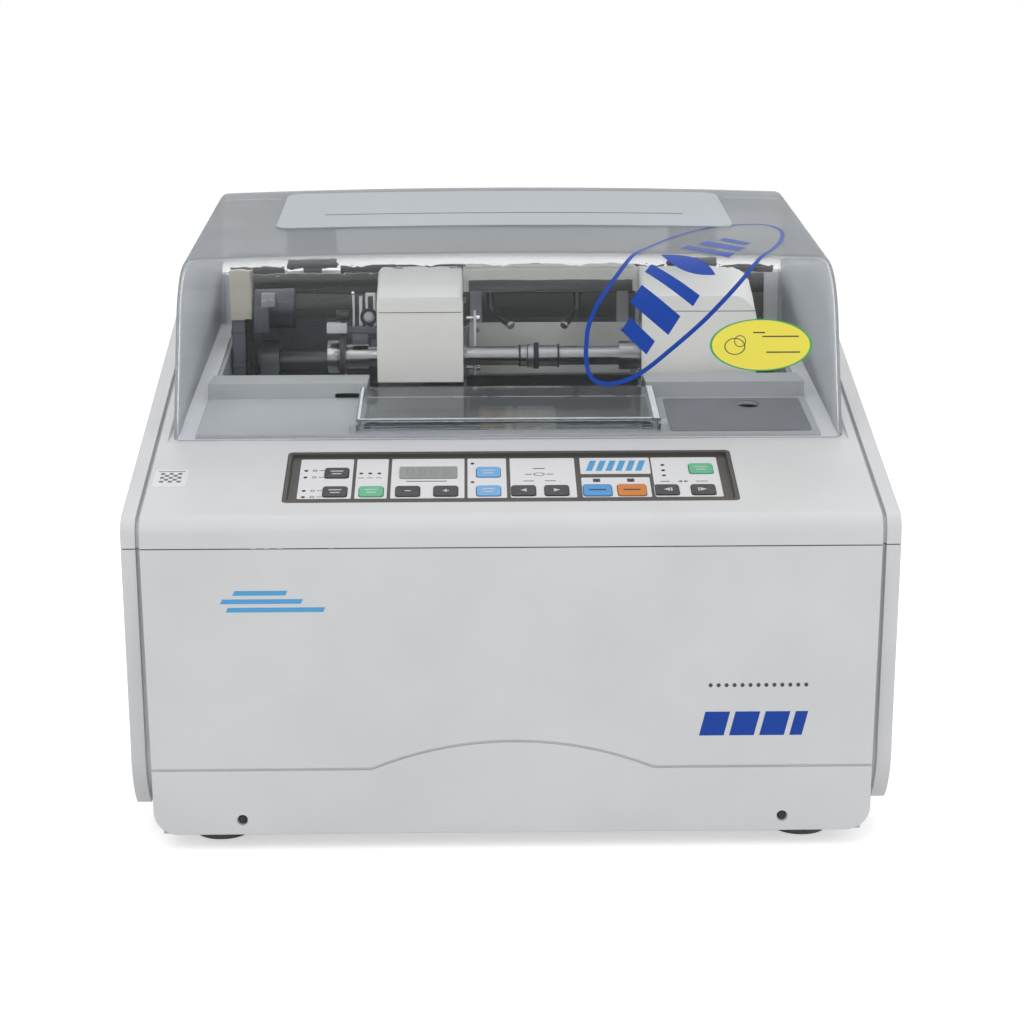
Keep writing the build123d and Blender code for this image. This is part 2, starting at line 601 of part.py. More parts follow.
def pulley_section(radius, y, z):
    """Half section of a flanged pulley about the shaft at this depth and height."""
    with BuildSketch(shaft_plane(y, z), mode=Mode.PRIVATE) as section:
        with BuildLine():
            rim = radius + PULLEY_RIM
            end = PULLEY_X + PULLEY_WIDTH
            Polyline((PULLEY_X, 0), (PULLEY_X, rim), (PULLEY_X + RIM_THICK, rim),
                     (PULLEY_X + RIM_THICK, radius), (end - RIM_THICK, radius), (end - RIM_THICK, rim),
                     (end, rim), (end, 0), close=True)
        make_face()
    return section.sketch


with BuildPart() as wheel_spindle:
    pedestal_x = TUB_HALF + TUB_WALL + FIT
    with BuildSketch(Plane.YZ.offset(PULLEY_X)):
        with Locations((WHEEL_Y, WHEEL_Z)):
            Circle(SPINDLE_R)
    extrude(amount=pedestal_x + PEDESTAL_THICK - PULLEY_X)
    # clamping flange and nut each side of the stack
    for face, away in ((WHEEL_START, -1), (WHEEL_END, 1)):
        with BuildSketch(Plane.YZ.offset(face)):
            with Locations((WHEEL_Y, WHEEL_Z)):
                Circle(FLANGE_R)
        extrude(amount=away * FLANGE_THICK)
        with BuildSketch(Plane.YZ.offset(face + away * FLANGE_THICK)):
            with Locations((WHEEL_Y, WHEEL_Z)):
                RegularPolygon(NUT_R, 6)
        extrude(amount=away * NUT_THICK)
    revolve(pulley_section(SPINDLE_PULLEY_R, WHEEL_Y, WHEEL_Z), axis=shaft_axis(WHEEL_Y, WHEEL_Z))
save(wheel_spindle, "wheel_spindle")

with BuildPart() as motor_pulley:
    revolve(pulley_section(MOTOR_PULLEY_R, MOTOR_Y, MOTOR_Z), axis=shaft_axis(MOTOR_Y, MOTOR_Z))
    with BuildSketch(Plane.YZ.offset(PULLEY_X + PULLEY_WIDTH)):
        with Locations((MOTOR_Y, MOTOR_Z)):
            Circle(MOTOR_SHAFT_R)
    extrude(amount=MOTOR_SHAFT_REACH)
save(motor_pulley, "motor_pulley")

with BuildPart() as spindle_housings:
    for side in (-1, 1):
        with BuildSketch(Plane.YZ.offset(side * pedestal_x)):
            with BuildLine():
                half = PEDESTAL_HALF
                Line((WHEEL_Y - half, WHEEL_Z), (WHEEL_Y - half - 8, BASE_TOP))
                Line((WHEEL_Y - half - 8, BASE_TOP), (WHEEL_Y + half + 8, BASE_TOP))
                Line((WHEEL_Y + half + 8, BASE_TOP), (WHEEL_Y + half, WHEEL_Z))
                Polyline((WHEEL_Y + half, WHEEL_Z), (WHEEL_Y + half, FLOOR_Z - DECK_SHEET - FIT),
                         (WHEEL_Y - half, FLOOR_Z - DECK_SHEET - FIT), (WHEEL_Y - half, WHEEL_Z))
            make_face()
            with Locations((WHEEL_Y, WHEEL_Z)):
                Circle(SPINDLE_R + RUN, mode=Mode.SUBTRACT)
        extrude(amount=side * PEDESTAL_THICK)
save(spindle_housings, "spindle_housings")


def belt_path(clear):
    """Loop round the two pulleys, this far outside them."""
    with BuildSketch(Plane.YZ.offset(PULLEY_X + (PULLEY_WIDTH - BELT_WIDTH) / 2), mode=Mode.PRIVATE) as loop:
        with Locations((WHEEL_Y, WHEEL_Z)):
            Circle(SPINDLE_PULLEY_R + clear)
        with Locations((MOTOR_Y, MOTOR_Z)):
            Circle(MOTOR_PULLEY_R + clear)
        make_hull()
    return loop.sketch


with BuildPart() as drive_belt:
    extrude(belt_path(FIT + BELT_THICK), amount=BELT_WIDTH)
    extrude(belt_path(FIT), amount=BELT_WIDTH, mode=Mode.SUBTRACT)
save(drive_belt, "drive_belt")

with BuildPart() as main_motor:
    with BuildSketch(Plane.YZ.offset(MOTOR_START)):
        with Locations((MOTOR_Y, MOTOR_Z)):
            Circle(MOTOR_R)
    extrude(amount=MOTOR_LENGTH)
    chamfer(main_motor.edges().filter_by(GeomType.CIRCLE), 4)
    with BuildSketch(Plane.YZ.offset(MOTOR_START + MOTOR_FOOT_IN)):
        with Locations((MOTOR_Y, BASE_TOP)):
            Rectangle(MOTOR_FOOT_WIDTH, MOTOR_R, align=(Align.CENTER, Align.MIN))
    extrude(amount=MOTOR_LENGTH - 2 * MOTOR_FOOT_IN)
    with BuildSketch(Plane.YZ.offset(MOTOR_START)):
        with Locations((MOTOR_Y, MOTOR_Z)):
            Circle(MOTOR_SHAFT_R + RUN)
    extrude(amount=MOTOR_SHAFT_REACH, mode=Mode.SUBTRACT)
save(main_motor, "main_motor")

# ---------------------------------------------------------------- pivot, posts and traverse
PIVOT_Y = FRONT + 430
PIVOT_Z = 300
SHAFT_R = 10
POST_THICK = 16
POST_LEFT, POST_RIGHT = -213, 217       # left faces of the two posts
POST_R = 21
POST_FOOT = 60
POST_FOOT_WIDTH = 22
FOOT_THICK = 8
SLEEVE_R = 15
SLEEVE_START, SLEEVE_END = -116, 206
COLLAR = 6
COLLAR_R = 20
HUB_R = 24
HUB_WIDTH = 38

with BuildPart() as pivot_shaft:
    with BuildSketch(Plane.YZ.offset(POST_LEFT - 4)):
        with Locations((PIVOT_Y, PIVOT_Z)):
            Circle(SHAFT_R)
    extrude(amount=POST_RIGHT + POST_THICK + 8 - POST_LEFT)
    chamfer(pivot_shaft.edges().filter_by(GeomType.CIRCLE), 1)
save(pivot_shaft, "pivot_shaft")

with BuildPart() as pivot_posts:
    for face in (POST_LEFT, POST_RIGHT):
        with BuildSketch(Plane.YZ.offset(face)):
            with Locations((PIVOT_Y, PIVOT_Z)):
                Circle(POST_R)
            with Locations((PIVOT_Y, FLOOR_Z)):
                Rectangle(2 * POST_R + 10, 4, align=(Align.CENTER, Align.MIN))
            make_hull()
            with Locations((PIVOT_Y, PIVOT_Z)):
                Circle(SHAFT_R + RUN / 5, mode=Mode.SUBTRACT)
        extrude(amount=POST_THICK)
        with BuildSketch(Plane.XY.offset(FLOOR_Z)):
            with Locations((face + POST_THICK / 2, PIVOT_Y)):
                Rectangle(POST_FOOT_WIDTH, POST_FOOT - 4)
        extrude(amount=FOOT_THICK)
save(pivot_posts, "pivot_posts")

with BuildPart() as traverse_sleeve:
    with BuildSketch(Plane.YZ.offset(SLEEVE_START)):
        with Locations((PIVOT_Y, PIVOT_Z)):
            Circle(SLEEVE_R)
    extrude(amount=SLEEVE_END - SLEEVE_START)
    for face in (SLEEVE_START, SLEEVE_END - COLLAR):
        with BuildSketch(Plane.YZ.offset(face)):
            with Locations((PIVOT_Y, PIVOT_Z)):
                Circle(COLLAR_R)
        extrude(amount=COLLAR)
    with BuildSketch(Plane.YZ.offset(SLEEVE_START - 1)):
        with Locations((PIVOT_Y, PIVOT_Z)):
            Circle(SHAFT_R + RUN)
    extrude(amount=SLEEVE_END - SLEEVE_START + 2, mode=Mode.SUBTRACT)
save(traverse_sleeve, "traverse_sleeve")

# ---------------------------------------------------------------- carriage
LENS_Y = WHEEL_Y
LENS_Z = 321
LENS_SHAFT_R = 8
QUILL_R = 12
HEAD_FRONT = FRONT + 292
HEAD_LOW = 302
HEAD_FACE_TOP = 373
HEAD_RIDGE_Y = FRONT + 340
HEAD_TOP = 394
HEAD_WALL = 3
LEFT_HEAD = (-106, -35)
RIGHT_HEAD = (113, 208)
HEAD_CORNER = 5
RIGHT_CORNER = 20
WEB_Y = FRONT + 374
WEB_THICK = 6
WEB_LOW, WEB_TOP = 295, 338
ARM_THICK = 12
PLATE_THICK = 5
BLOCK_HALF = 15
BEAM_LOW = 372
HEAD_BACK = WEB_Y - FIT
plate_top = HEAD_LOW + PLATE_THICK
hub_left = SLEEVE_START + COLLAR + FIT
hub_right = SLEEVE_END - COLLAR - FIT - HUB_WIDTH

with BuildPart() as carriage_frame:
    # hubs on the sleeve and an arm from each to the web
    for start, arm in ((hub_left, hub_left + 6), (hub_right, hub_right + HUB_WIDTH - ARM_THICK - 6)):
        with BuildSketch(Plane.YZ.offset(start)):
            with Locations((PIVOT_Y, PIVOT_Z)):
                Circle(HUB_R)
        extrude(amount=HUB_WIDTH)
        with BuildSketch(Plane.YZ.offset(arm)):
            with Locations((PIVOT_Y, PIVOT_Z)):
                Circle(HUB_R - 4)
            with Locations((WEB_Y + WEB_THICK / 2, WEB_LOW + 18)):
                Rectangle(WEB_THICK, 36)
            make_hull()
        extrude(amount=ARM_THICK)
    # web, head plates and the two brackets that carry the beam
    with BuildSketch(Plane.XY.offset(WEB_LOW)):
        with Locations((LEFT_HEAD[0] + HEAD_WALL, WEB_Y)):
            Rectangle(RIGHT_HEAD[1] - LEFT_HEAD[0] - 2 * HEAD_WALL, WEB_THICK,
                      align=(Align.MIN, Align.MIN))
    extrude(amount=WEB_TOP - WEB_LOW)
    for head in (LEFT_HEAD, RIGHT_HEAD):
        plate_start = head[0] + HEAD_WALL + FIT
        plate_front = HEAD_FRONT + HEAD_WALL + FIT
        with BuildSketch(Plane.XY.offset(HEAD_LOW)):
            with Locations((plate_start, plate_front)):
                Rectangle(head[1] - head[0] - 2 * HEAD_WALL - 2 * FIT, WEB_Y - plate_front,
                          align=(Align.MIN, Align.MIN))
        extrude(amount=PLATE_THICK)
    for bracket in (LEFT_HEAD[1] + 6, RIGHT_HEAD[0] - 16):
        with BuildSketch(Plane.XY.offset(WEB_TOP)):
            with Locations((bracket, WEB_Y)):
                Rectangle(10, WEB_THICK, align=(Align.MIN, Align.MIN))
        extrude(amount=HEAD_TOP - 4 - WEB_TOP)
    # bearing blocks for the left shaft and for the clamping quill
    for start, length in ((LEFT_HEAD[0] + 6, 14), (LEFT_HEAD[1] - 21, 14), (RIGHT_HEAD[0] + 7, 32)):
        with BuildSketch(Plane.YZ.offset(start)):
            with Locations((LENS_Y, plate_top - 1)):
                Rectangle(2 * BLOCK_HALF, LENS_Z - plate_top + 1, align=(Align.CENTER, Align.MIN))
            with Locations((LENS_Y, LENS_Z)):
                Circle(BLOCK_HALF)
        extrude(amount=length)
    with BuildSketch(Plane.YZ.offset(LEFT_HEAD[0] + 5)):
        with Locations((LENS_Y, LENS_Z)):
            Circle(LENS_SHAFT_R + RUN)
    extrude(amount=LEFT_HEAD[1] - LEFT_HEAD[0], mode=Mode.SUBTRACT)
    with BuildSketch(Plane.YZ.offset(RIGHT_HEAD[0] + 6)):
        with Locations((LENS_Y, LENS_Z)):
            Circle(QUILL_R + RUN)
    extrude(amount=35, mode=Mode.SUBTRACT)
    with BuildSketch(Plane.YZ.offset(SLEEVE_START)):
        with Locations((PIVOT_Y, PIVOT_Z)):
            Circle(SLEEVE_R + RUN)
    extrude(amount=SLEEVE_END - SLEEVE_START, mode=Mode.SUBTRACT)
save(carriage_frame, "carriage_frame")


def head_profile(inset, x, back, low):
    """Side outline of a head cover, set in by its wall."""
    with BuildSketch(Plane.YZ.offset(x), mode=Mode.PRIVATE) as outline:
        with BuildLine():
            slope = (HEAD_TOP - HEAD_FACE_TOP) / (HEAD_RIDGE_Y - HEAD_FRONT)
            face_top = HEAD_FACE_TOP - inset * (1 - slope / 2)
            Polyline((HEAD_FRONT + inset, low), (HEAD_FRONT + inset, face_top),
                     (HEAD_RIDGE_Y + inset / 4, HEAD_TOP - inset), (back, HEAD_TOP - inset),
                     (back, low), close=True)
        make_face()
    return outline.sketch


def head_cover(head, bore, bored, corner):
    """Hollow head cover, open below and behind, bored this far through from the left for its shaft."""
    start, end = head
    inside = end - start - 2 * HEAD_WALL
    with BuildPart() as cover:
        extrude(head_profile(0, start, HEAD_BACK, HEAD_LOW), amount=end - start)
        for side, radius in ((0, HEAD_CORNER), (-1, corner)):
            fillet(cover.faces().sort_by(Axis.X)[side].edges().sort_by(Axis.Z)[-2:], radius)
        # the hollow stays clear of the larger corner, and is full width below it
        extrude(head_profile(HEAD_WALL, start + HEAD_WALL, HEAD_BACK + 1, HEAD_LOW - 1),
                amount=inside - (corner - HEAD_CORNER) / 2, mode=Mode.SUBTRACT)
        with BuildSketch(Plane.YZ.offset(start + HEAD_WALL)):
            with Locations((HEAD_FRONT + HEAD_WALL, HEAD_LOW - 1)):
                Rectangle(HEAD_BACK - HEAD_FRONT, HEAD_FACE_TOP - HEAD_LOW - corner / 2,
                          align=(Align.MIN, Align.MIN))
        extrude(amount=inside, mode=Mode.SUBTRACT)
        with BuildSketch(Plane.YZ.offset(start - 1)):
            with Locations((LENS_Y, LENS_Z)):
                Circle(bore)
        extrude(amount=bored, mode=Mode.SUBTRACT)
    return cover


save(head_cover(LEFT_HEAD, LENS_SHAFT_R + 1, LEFT_HEAD[1] - LEFT_HEAD[0] + 2, HEAD_CORNER), "left_head_cover")
save(head_cover(RIGHT_HEAD, QUILL_R + 1, (RIGHT_HEAD[1] - RIGHT_HEAD[0]) / 2, RIGHT_CORNER),
     "right_head_cover")

BEAM_FRONT = HEAD_RIDGE_Y
with BuildPart() as carriage_beam:
    beam_start = LEFT_HEAD[1] + FIT
    with BuildSketch(Plane.YZ.offset(beam_start)):
        with BuildLine():
            Polyline((BEAM_FRONT, BEAM_LOW), (BEAM_FRONT, HEAD_TOP), (HEAD_BACK, HEAD_TOP),
                     (HEAD_BACK, BEAM_LOW), (HEAD_BACK - HEAD_WALL, BEAM_LOW),
                     (HEAD_BACK - HEAD_WALL, HEAD_TOP - HEAD_WALL),
                     (BEAM_FRONT + HEAD_WALL, HEAD_TOP - HEAD_WALL), (BEAM_FRONT + HEAD_WALL, BEAM_LOW),
                     close=True)
        make_face()
    extrude(amount=RIGHT_HEAD[0] - FIT - beam_start)
    fillet(carriage_beam.edges().filter_by(Axis.X).group_by(Axis.Z)[-1].sort_by(Axis.Y)[0], 2)
save(carriage_beam, "carriage_beam")

SPLASH_THICK = 2.5
with BuildPart() as splash_plates:
    for face, bore in ((LEFT_HEAD[1] + FIT, LENS_SHAFT_R + 1),
                       (RIGHT_HEAD[0] - FIT - SPLASH_THICK, QUILL_R + 1)):
        with BuildSketch(Plane.YZ.offset(face)):
            with Locations((HEAD_FRONT, HEAD_LOW - 4)):
                Rectangle(BEAM_FRONT - 2 - HEAD_FRONT, BEAM_LOW - HEAD_LOW, align=(Align.MIN, Align.MIN))
            with Locations((LENS_Y, LENS_Z)):
                Circle(bore, mode=Mode.SUBTRACT)
        extrude(amount=SPLASH_THICK)
save(splash_plates, "splash_plates")

NOZZLE_R = 3
NOZZLE_BORE = 1.8
NOZZLES = {-12: 6, 62: 50}              # x where each leaves the beam, and x of its tip
with BuildPart() as coolant_nozzles:
    for x, tip in NOZZLES.items():
        top_y = BEAM_FRONT + HEAD_WALL + 10
        with BuildLine() as route:
            FilletPolyline((x, top_y, HEAD_TOP - HEAD_WALL), (x, top_y, 354), (tip, top_y - 18, 343),
                           radius=9)
        with BuildSketch(Plane.XY.offset(HEAD_TOP - HEAD_WALL)):
            with Locations((x, top_y)):
                Circle(NOZZLE_R)
                Circle(NOZZLE_BORE, mode=Mode.SUBTRACT)
        sweep(path=route.line)
save(coolant_nozzles, "coolant_nozzles")

MOTOR_CAN_R = 15
CAN_Y, CAN_Z = FRONT + 352, 350
with BuildPart() as head_motors:
    for can_start, can_end in ((LEFT_HEAD[0] + 8, LEFT_HEAD[1] - 8),
                               (RIGHT_HEAD[0] + 12, RIGHT_HEAD[1] - 14)):
        with BuildSketch(Plane.YZ.offset(can_start)):
            with Locations((CAN_Y, CAN_Z)):
                Circle(MOTOR_CAN_R)
            with Locations((CAN_Y, plate_top)):
                Rectangle(18, CAN_Z - plate_top - 4, align=(Align.CENTER, Align.MIN))
        extrude(amount=can_end - can_start)
save(head_motors, "head_motors")

# ---------------------------------------------------------------- lens shafts
CHUCK_R = 10
CHUCK_START = -133
PATTERN_THICK = 4
PATTERN_R = 25
PATTERN_KNOB_R = 13
PATTERN_KNOB_LENGTH = 11
CUP_R = 9
CUP_START = 12
LENS_X = 24                 # plane where the two shafts meet
PAD_R = 11
PAD_THICK = 4
SHAFT_PULLEY_R = 13

with BuildPart() as left_lens_shaft:
    with BuildSketch(shaft_plane(LENS_Y, LENS_Z)):
        with BuildLine():
            chuck_end = LEFT_HEAD[0] - 8
            Polyline((CHUCK_START, 0), (CHUCK_START, LENS_SHAFT_R), (CUP_START, LENS_SHAFT_R),
                     (CUP_START, CUP_R), (LENS_X - 6, CUP_R), (LENS_X - 6, 0), close=True)
        make_face()
    revolve(axis=shaft_axis(LENS_Y, LENS_Z))
    # drive pulley inside the head, chuck collar and the knob outside the former disc
    for start, length, radius in ((LEFT_HEAD[0] + 28, 12, SHAFT_PULLEY_R),
                                  (CHUCK_START, chuck_end - CHUCK_START, CHUCK_R),
                                  (CHUCK_START - PATTERN_THICK, -PATTERN_KNOB_LENGTH, PATTERN_KNOB_R)):
        with BuildSketch(Plane.YZ.offset(start)):
            with Locations((LENS_Y, LENS_Z)):
                Circle(radius)
        extrude(amount=length)
    chamfer(left_lens_shaft.edges().filter_by(GeomType.CIRCLE).sort_by(Axis.X)[0], 1.5)
save(left_lens_shaft, "left_lens_shaft")

with BuildPart() as lens_cup:
    with BuildSketch(Plane.YZ.offset(LENS_X - 6)):
        with Locations((LENS_Y, LENS_Z)):
            Circle(PAD_R - 1)
    extrude(amount=6 - FIT)
    chamfer(lens_cup.edges().filter_by(GeomType.CIRCLE).sort_by(Axis.X)[0], 1)
save(lens_cup, "lens_cup")


with BuildPart() as former_disc:
    with BuildSketch(Plane.YZ.offset(CHUCK_START)):
        with Locations((LENS_Y, LENS_Z)):
            Circle(PATTERN_R)
    extrude(amount=-PATTERN_THICK)
save(former_disc, "former_disc")

quill_start = RIGHT_HEAD[0] - 18
quill_end = RIGHT_HEAD[0] + 52
with BuildPart() as clamp_quill:
    with BuildSketch(Plane.YZ.offset(quill_start)):
        with Locations((LENS_Y, LENS_Z)):
            Circle(QUILL_R)
            Circle(LENS_SHAFT_R + RUN, mode=Mode.SUBTRACT)
    extrude(amount=quill_end - quill_start)
save(clamp_quill, "clamp_quill")

with BuildPart() as right_lens_shaft:
    with BuildSketch(shaft_plane(LENS_Y, LENS_Z)):
        with BuildLine():
            shaft_end = quill_end + 6
            step = LENS_X + PAD_THICK + 16
            Polyline((LENS_X + PAD_THICK, 0), (LENS_X + PAD_THICK, CUP_R), (step, CUP_R),
                     (step, LENS_SHAFT_R), (quill_end + FIT, LENS_SHAFT_R), (quill_end + FIT, CUP_R + 1),
                     (shaft_end, CUP_R + 1), (shaft_end, 0), close=True)
        make_face()
    revolve(axis=shaft_axis(LENS_Y, LENS_Z))
save(right_lens_shaft, "right_lens_shaft")

with BuildPart() as lens_pad:
    with BuildSketch(Plane.YZ.offset(LENS_X)):
        with Locations((LENS_Y, LENS_Z)):
            Circle(PAD_R)
    extrude(amount=PAD_THICK)
save(lens_pad, "lens_pad")

# ---------------------------------------------------------------- size stage and bay fittings
SHOE_TOP = 258.5
SHOE_THICK = 3.5
SHOE_LENGTH = 78
SHOE_WIDTH = 24
COLUMN_LOW = 150
TOWER_TOP = 186
TOWER_HALF = 15

with BuildPart() as size_stage:
    with BuildSketch(Plane.XY.offset(COLUMN_LOW)):
        with Locations((STAGE_X, WHEEL_Y)):
            Circle(STAGE_R)
    extrude(amount=SHOE_TOP - COLUMN_LOW - 1)
    with BuildSketch(Plane.XY.offset(SHOE_TOP - SHOE_THICK)):
        with Locations((STAGE_X, WHEEL_Y)):
            RectangleRounded(SHOE_LENGTH, SHOE_WIDTH, 4)
    extrude(amount=SHOE_THICK)
save(size_stage, "size_stage")

TRAVERSE_CAN_R = 18
TRAVERSE_Y, TRAVERSE_Z = FRONT + 412, 350

with BuildPart() as stage_motors:
    # size stage tower on the base
    with BuildSketch(Plane.XY.offset(BASE_TOP)):
        with Locations((STAGE_X - 4, WHEEL_Y)):
            Rectangle(2 * TOWER_HALF, 2 * TOWER_HALF)
    extrude(amount=TOWER_TOP - BASE_TOP)
    with BuildSketch(Plane.XY.offset(COLUMN_LOW - 10)):
        with Locations((STAGE_X, WHEEL_Y)):
            Circle(STAGE_R + RUN)
    extrude(amount=TOWER_TOP, mode=Mode.SUBTRACT)
    # traverse motor on top of the left post
    with BuildSketch(Plane.YZ.offset(POST_LEFT - 3)):
        with Locations((TRAVERSE_Y, TRAVERSE_Z)):
            Circle(TRAVERSE_CAN_R)
    extrude(amount=34)
    # bracket down to the top of the left post
    with BuildSketch(Plane.YZ.offset(POST_LEFT)):
        with Locations((PIVOT_Y, PIVOT_Z + POST_R + FIT)):
            Rectangle(16, 18, align=(Align.MAX, Align.MIN))
    extrude(amount=POST_THICK)
save(stage_motors, "stage_motors")

VALVE_X = 13 - BAY_HALF
VALVE_Y = FRONT + 400
VALVE_LOW, VALVE_TOP = 342, 390
with BuildPart() as coolant_valve:
    with BuildSketch(Plane.XY.offset(VALVE_LOW)):
        with Locations((VALVE_X, VALVE_Y)):
            RectangleRounded(19, 24, 2)
    extrude(amount=VALVE_TOP - VALVE_LOW)
    with BuildSketch(Plane.XY.offset(FLOOR_Z)):
        with Locations((VALVE_X, VALVE_Y)):
            Rectangle(13, 16)
    extrude(amount=VALVE_LOW - FLOOR_Z)
save(coolant_valve, "coolant_valve")


# ---------------------------------------------------------------- chamber cover
with BuildPart() as chamber_cover:
    with BuildSketch(door_plane.offset(FIT)):
        RectangleRounded(2 * DOOR_HALF, door_length - 1.5, 3, align=(Align.CENTER, Align.MIN))
    extrude(amount=DOOR_HEIGHT)
    with BuildSketch(door_plane.offset(FIT)):
        with Locations((0, DOOR_WALL)):
            Rectangle(2 * (DOOR_HALF - DOOR_WALL), door_length - 1.5 - 2 * DOOR_WALL,
                      align=(Align.CENTER, Align.MIN))
    extrude(amount=DOOR_HEIGHT - DOOR_WALL, mode=Mode.SUBTRACT)
    with BuildSketch(door_plane.offset(-1)):
        Rectangle(2 * DOOR_HALF + 2, DOOR_AXIS_IN, align=(Align.CENTER, Align.MIN))
    extrude(amount=3.2, mode=Mode.SUBTRACT)
    with BuildSketch(door_side.offset(-DOOR_HALF - 1)):
        with Locations((DOOR_AXIS_IN, DOOR_AXIS_UP)):
            Circle(DOOR_PIN_R + RUN)
    extrude(amount=2 * DOOR_HALF + 2, mode=Mode.SUBTRACT)
save(chamber_cover, "chamber_cover")


# ---------------------------------------------------------------- lid
LID_SIDE_GAP = 3.5          # from the pocket's side to the lid's
LID_HALF = POCKET_HALF - LID_SIDE_GAP
LID_FRONT = FRONT + 127
LID_BACK = COWL_Y - 2
LID_WALL = 3
LID_GAP = 0.8
LID_EDGE = 9
LID_BEND = 50
LID_LEAN = 8.5              # front pane leans back from upright, in degrees
LID_DRAFT = 2               # each side leans in
LID_CROWN = 4.5             # and how much higher its middle is
ROOF_SLOPE = 5.75
ROOF_RISE = 54              # rear edge of the roof above the hinge pin, at its ends
HINGE_Y = COWL_Y + 6
HINGE_RISE = 13             # pin above the deck line at the cowl
HINGE_Z = deck_z(COWL_Y) + HINGE_RISE
KNUCKLE_R = 5
PIN_R = 2.5
LEAF_THICK = 2
LEAF_WIDTH = 44
LEAF_X = 170
LID_REAR_Z = HINGE_Z + ROOF_RISE
KNUCKLE_FIXED = 16
HINGE_LOW = HINGE_Z - 5
LEAF_HEIGHT = 26
STRIP_HALF = 188
STRIP_DEPTH = 157
STRIP_CORNER = 14
STRIP_RISE = 1.2
STRIP_IN = 26               # strip's rear edge in front of the lid's
lid_low = seat_z(LID_FRONT) + LID_GAP
lid_top = LID_REAR_Z + LID_CROWN + 30
roof_plane = Plane(origin=(0, LID_BACK, LID_REAR_Z), x_dir=(1, 0, 0),
                   z_dir=(0, -cos(radians(ROOF_SLOPE)), -sin(radians(ROOF_SLOPE))))


def lid_side(z):
    """Half the lid's width at a height."""
    return LID_HALF - (z - lid_low) * tan(radians(LID_DRAFT))


def lid_front(z):
    """Depth of the front pane's face at a height."""
    return LID_FRONT + (z - lid_low) * tan(radians(LID_LEAN))


def under_roof(rise):
    """Solid under the crowned roof, which is a shallow arc across and slopes down to the front."""
    half = lid_side(LID_REAR_Z)
    radius = (half ** 2 + LID_CROWN ** 2) / (2 * LID_CROWN)
    reach = half + 20
    with BuildPart() as below:
        with BuildSketch(roof_plane):
            with Locations((0, LID_CROWN - radius)):
                Circle(radius + rise)
            with Locations((0, LID_CROWN + rise)):
                Rectangle(2 * reach, 2 * LID_REAR_Z, mode=Mode.INTERSECT)
        extrude(amount=2 * CASING_DEPTH, both=True)
    return below.part


def lid_body(inset, drop):
    """Closed lid shape, set in by its wall and carried down past its lower edge."""
    with BuildPart() as body:
        with BuildSketch(Plane.YZ):
            with BuildLine():
                low_back = seat_z(LID_BACK) + LID_GAP
                Polyline((lid_front(lid_low - drop) + inset, lid_low - drop), (lid_front(lid_top) + inset, lid_top),
                         (LID_BACK - inset, lid_top), (LID_BACK - inset, low_back - drop), close=True)
            make_face()
        extrude(amount=LID_HALF + 5, both=True)
        with BuildSketch(Plane.XZ.offset(-LID_BACK)):
            with BuildLine():
                low, high = lid_side(0) - inset, lid_side(lid_top) - inset
                Polyline((-low, 0), (low, 0), (high, lid_top), (-high, lid_top), close=True)
            make_face()
        extrude(amount=2 * CASING_DEPTH, mode=Mode.INTERSECT)
        add(under_roof(-inset), mode=Mode.INTERSECT)
        bend = body.edges().filter_by(lambda edge: abs(edge.center().X) < 1
                                      and edge.center().Y < LID_FRONT + 80).sort_by(Axis.Z)[-1]
        fillet(bend, LID_BEND - inset)
        for end in (0, -1):
            rim = body.faces().sort_by(Axis.X)[end].edges().sort_by(Axis.Z)[1:]
            fillet([edge for edge in rim if edge.center().Y < LID_BACK - inset - 1], LID_EDGE - inset)
    return body.part


lid_outer = lid_body(0, 0)
lid_inner = lid_body(LID_WALL, 12)
with BuildPart() as lid_shell:
    strip_plane = Plane(origin=(0, LID_BACK - STRIP_IN, LID_REAR_Z - STRIP_IN * tan(radians(ROOF_SLOPE))),
                        x_dir=(1, 0, 0), z_dir=(0, -sin(radians(ROOF_SLOPE)), cos(radians(ROOF_SLOPE))))
    with BuildSketch(strip_plane):
        with Locations((0, -STRIP_DEPTH / 2)):
            RectangleRounded(2 * STRIP_HALF, STRIP_DEPTH, STRIP_CORNER)
    extrude(amount=20, both=True)
    add(under_roof(STRIP_RISE), mode=Mode.INTERSECT)
    add(lid_outer)
    add(lid_inner, mode=Mode.SUBTRACT)
    with BuildSketch(Plane.XZ.offset(-LID_BACK - 1)):
        with Locations((0, seat_z(LID_BACK) - 10)):
            Rectangle(2 * (lid_side(LID_REAR_Z) - LID_WALL), HINGE_LOW - seat_z(LID_BACK) + 10,
                      align=(Align.CENTER, Align.MIN))
    extrude(amount=LID_WALL + 2, mode=Mode.SUBTRACT)
save(lid_shell, "lid_shell")

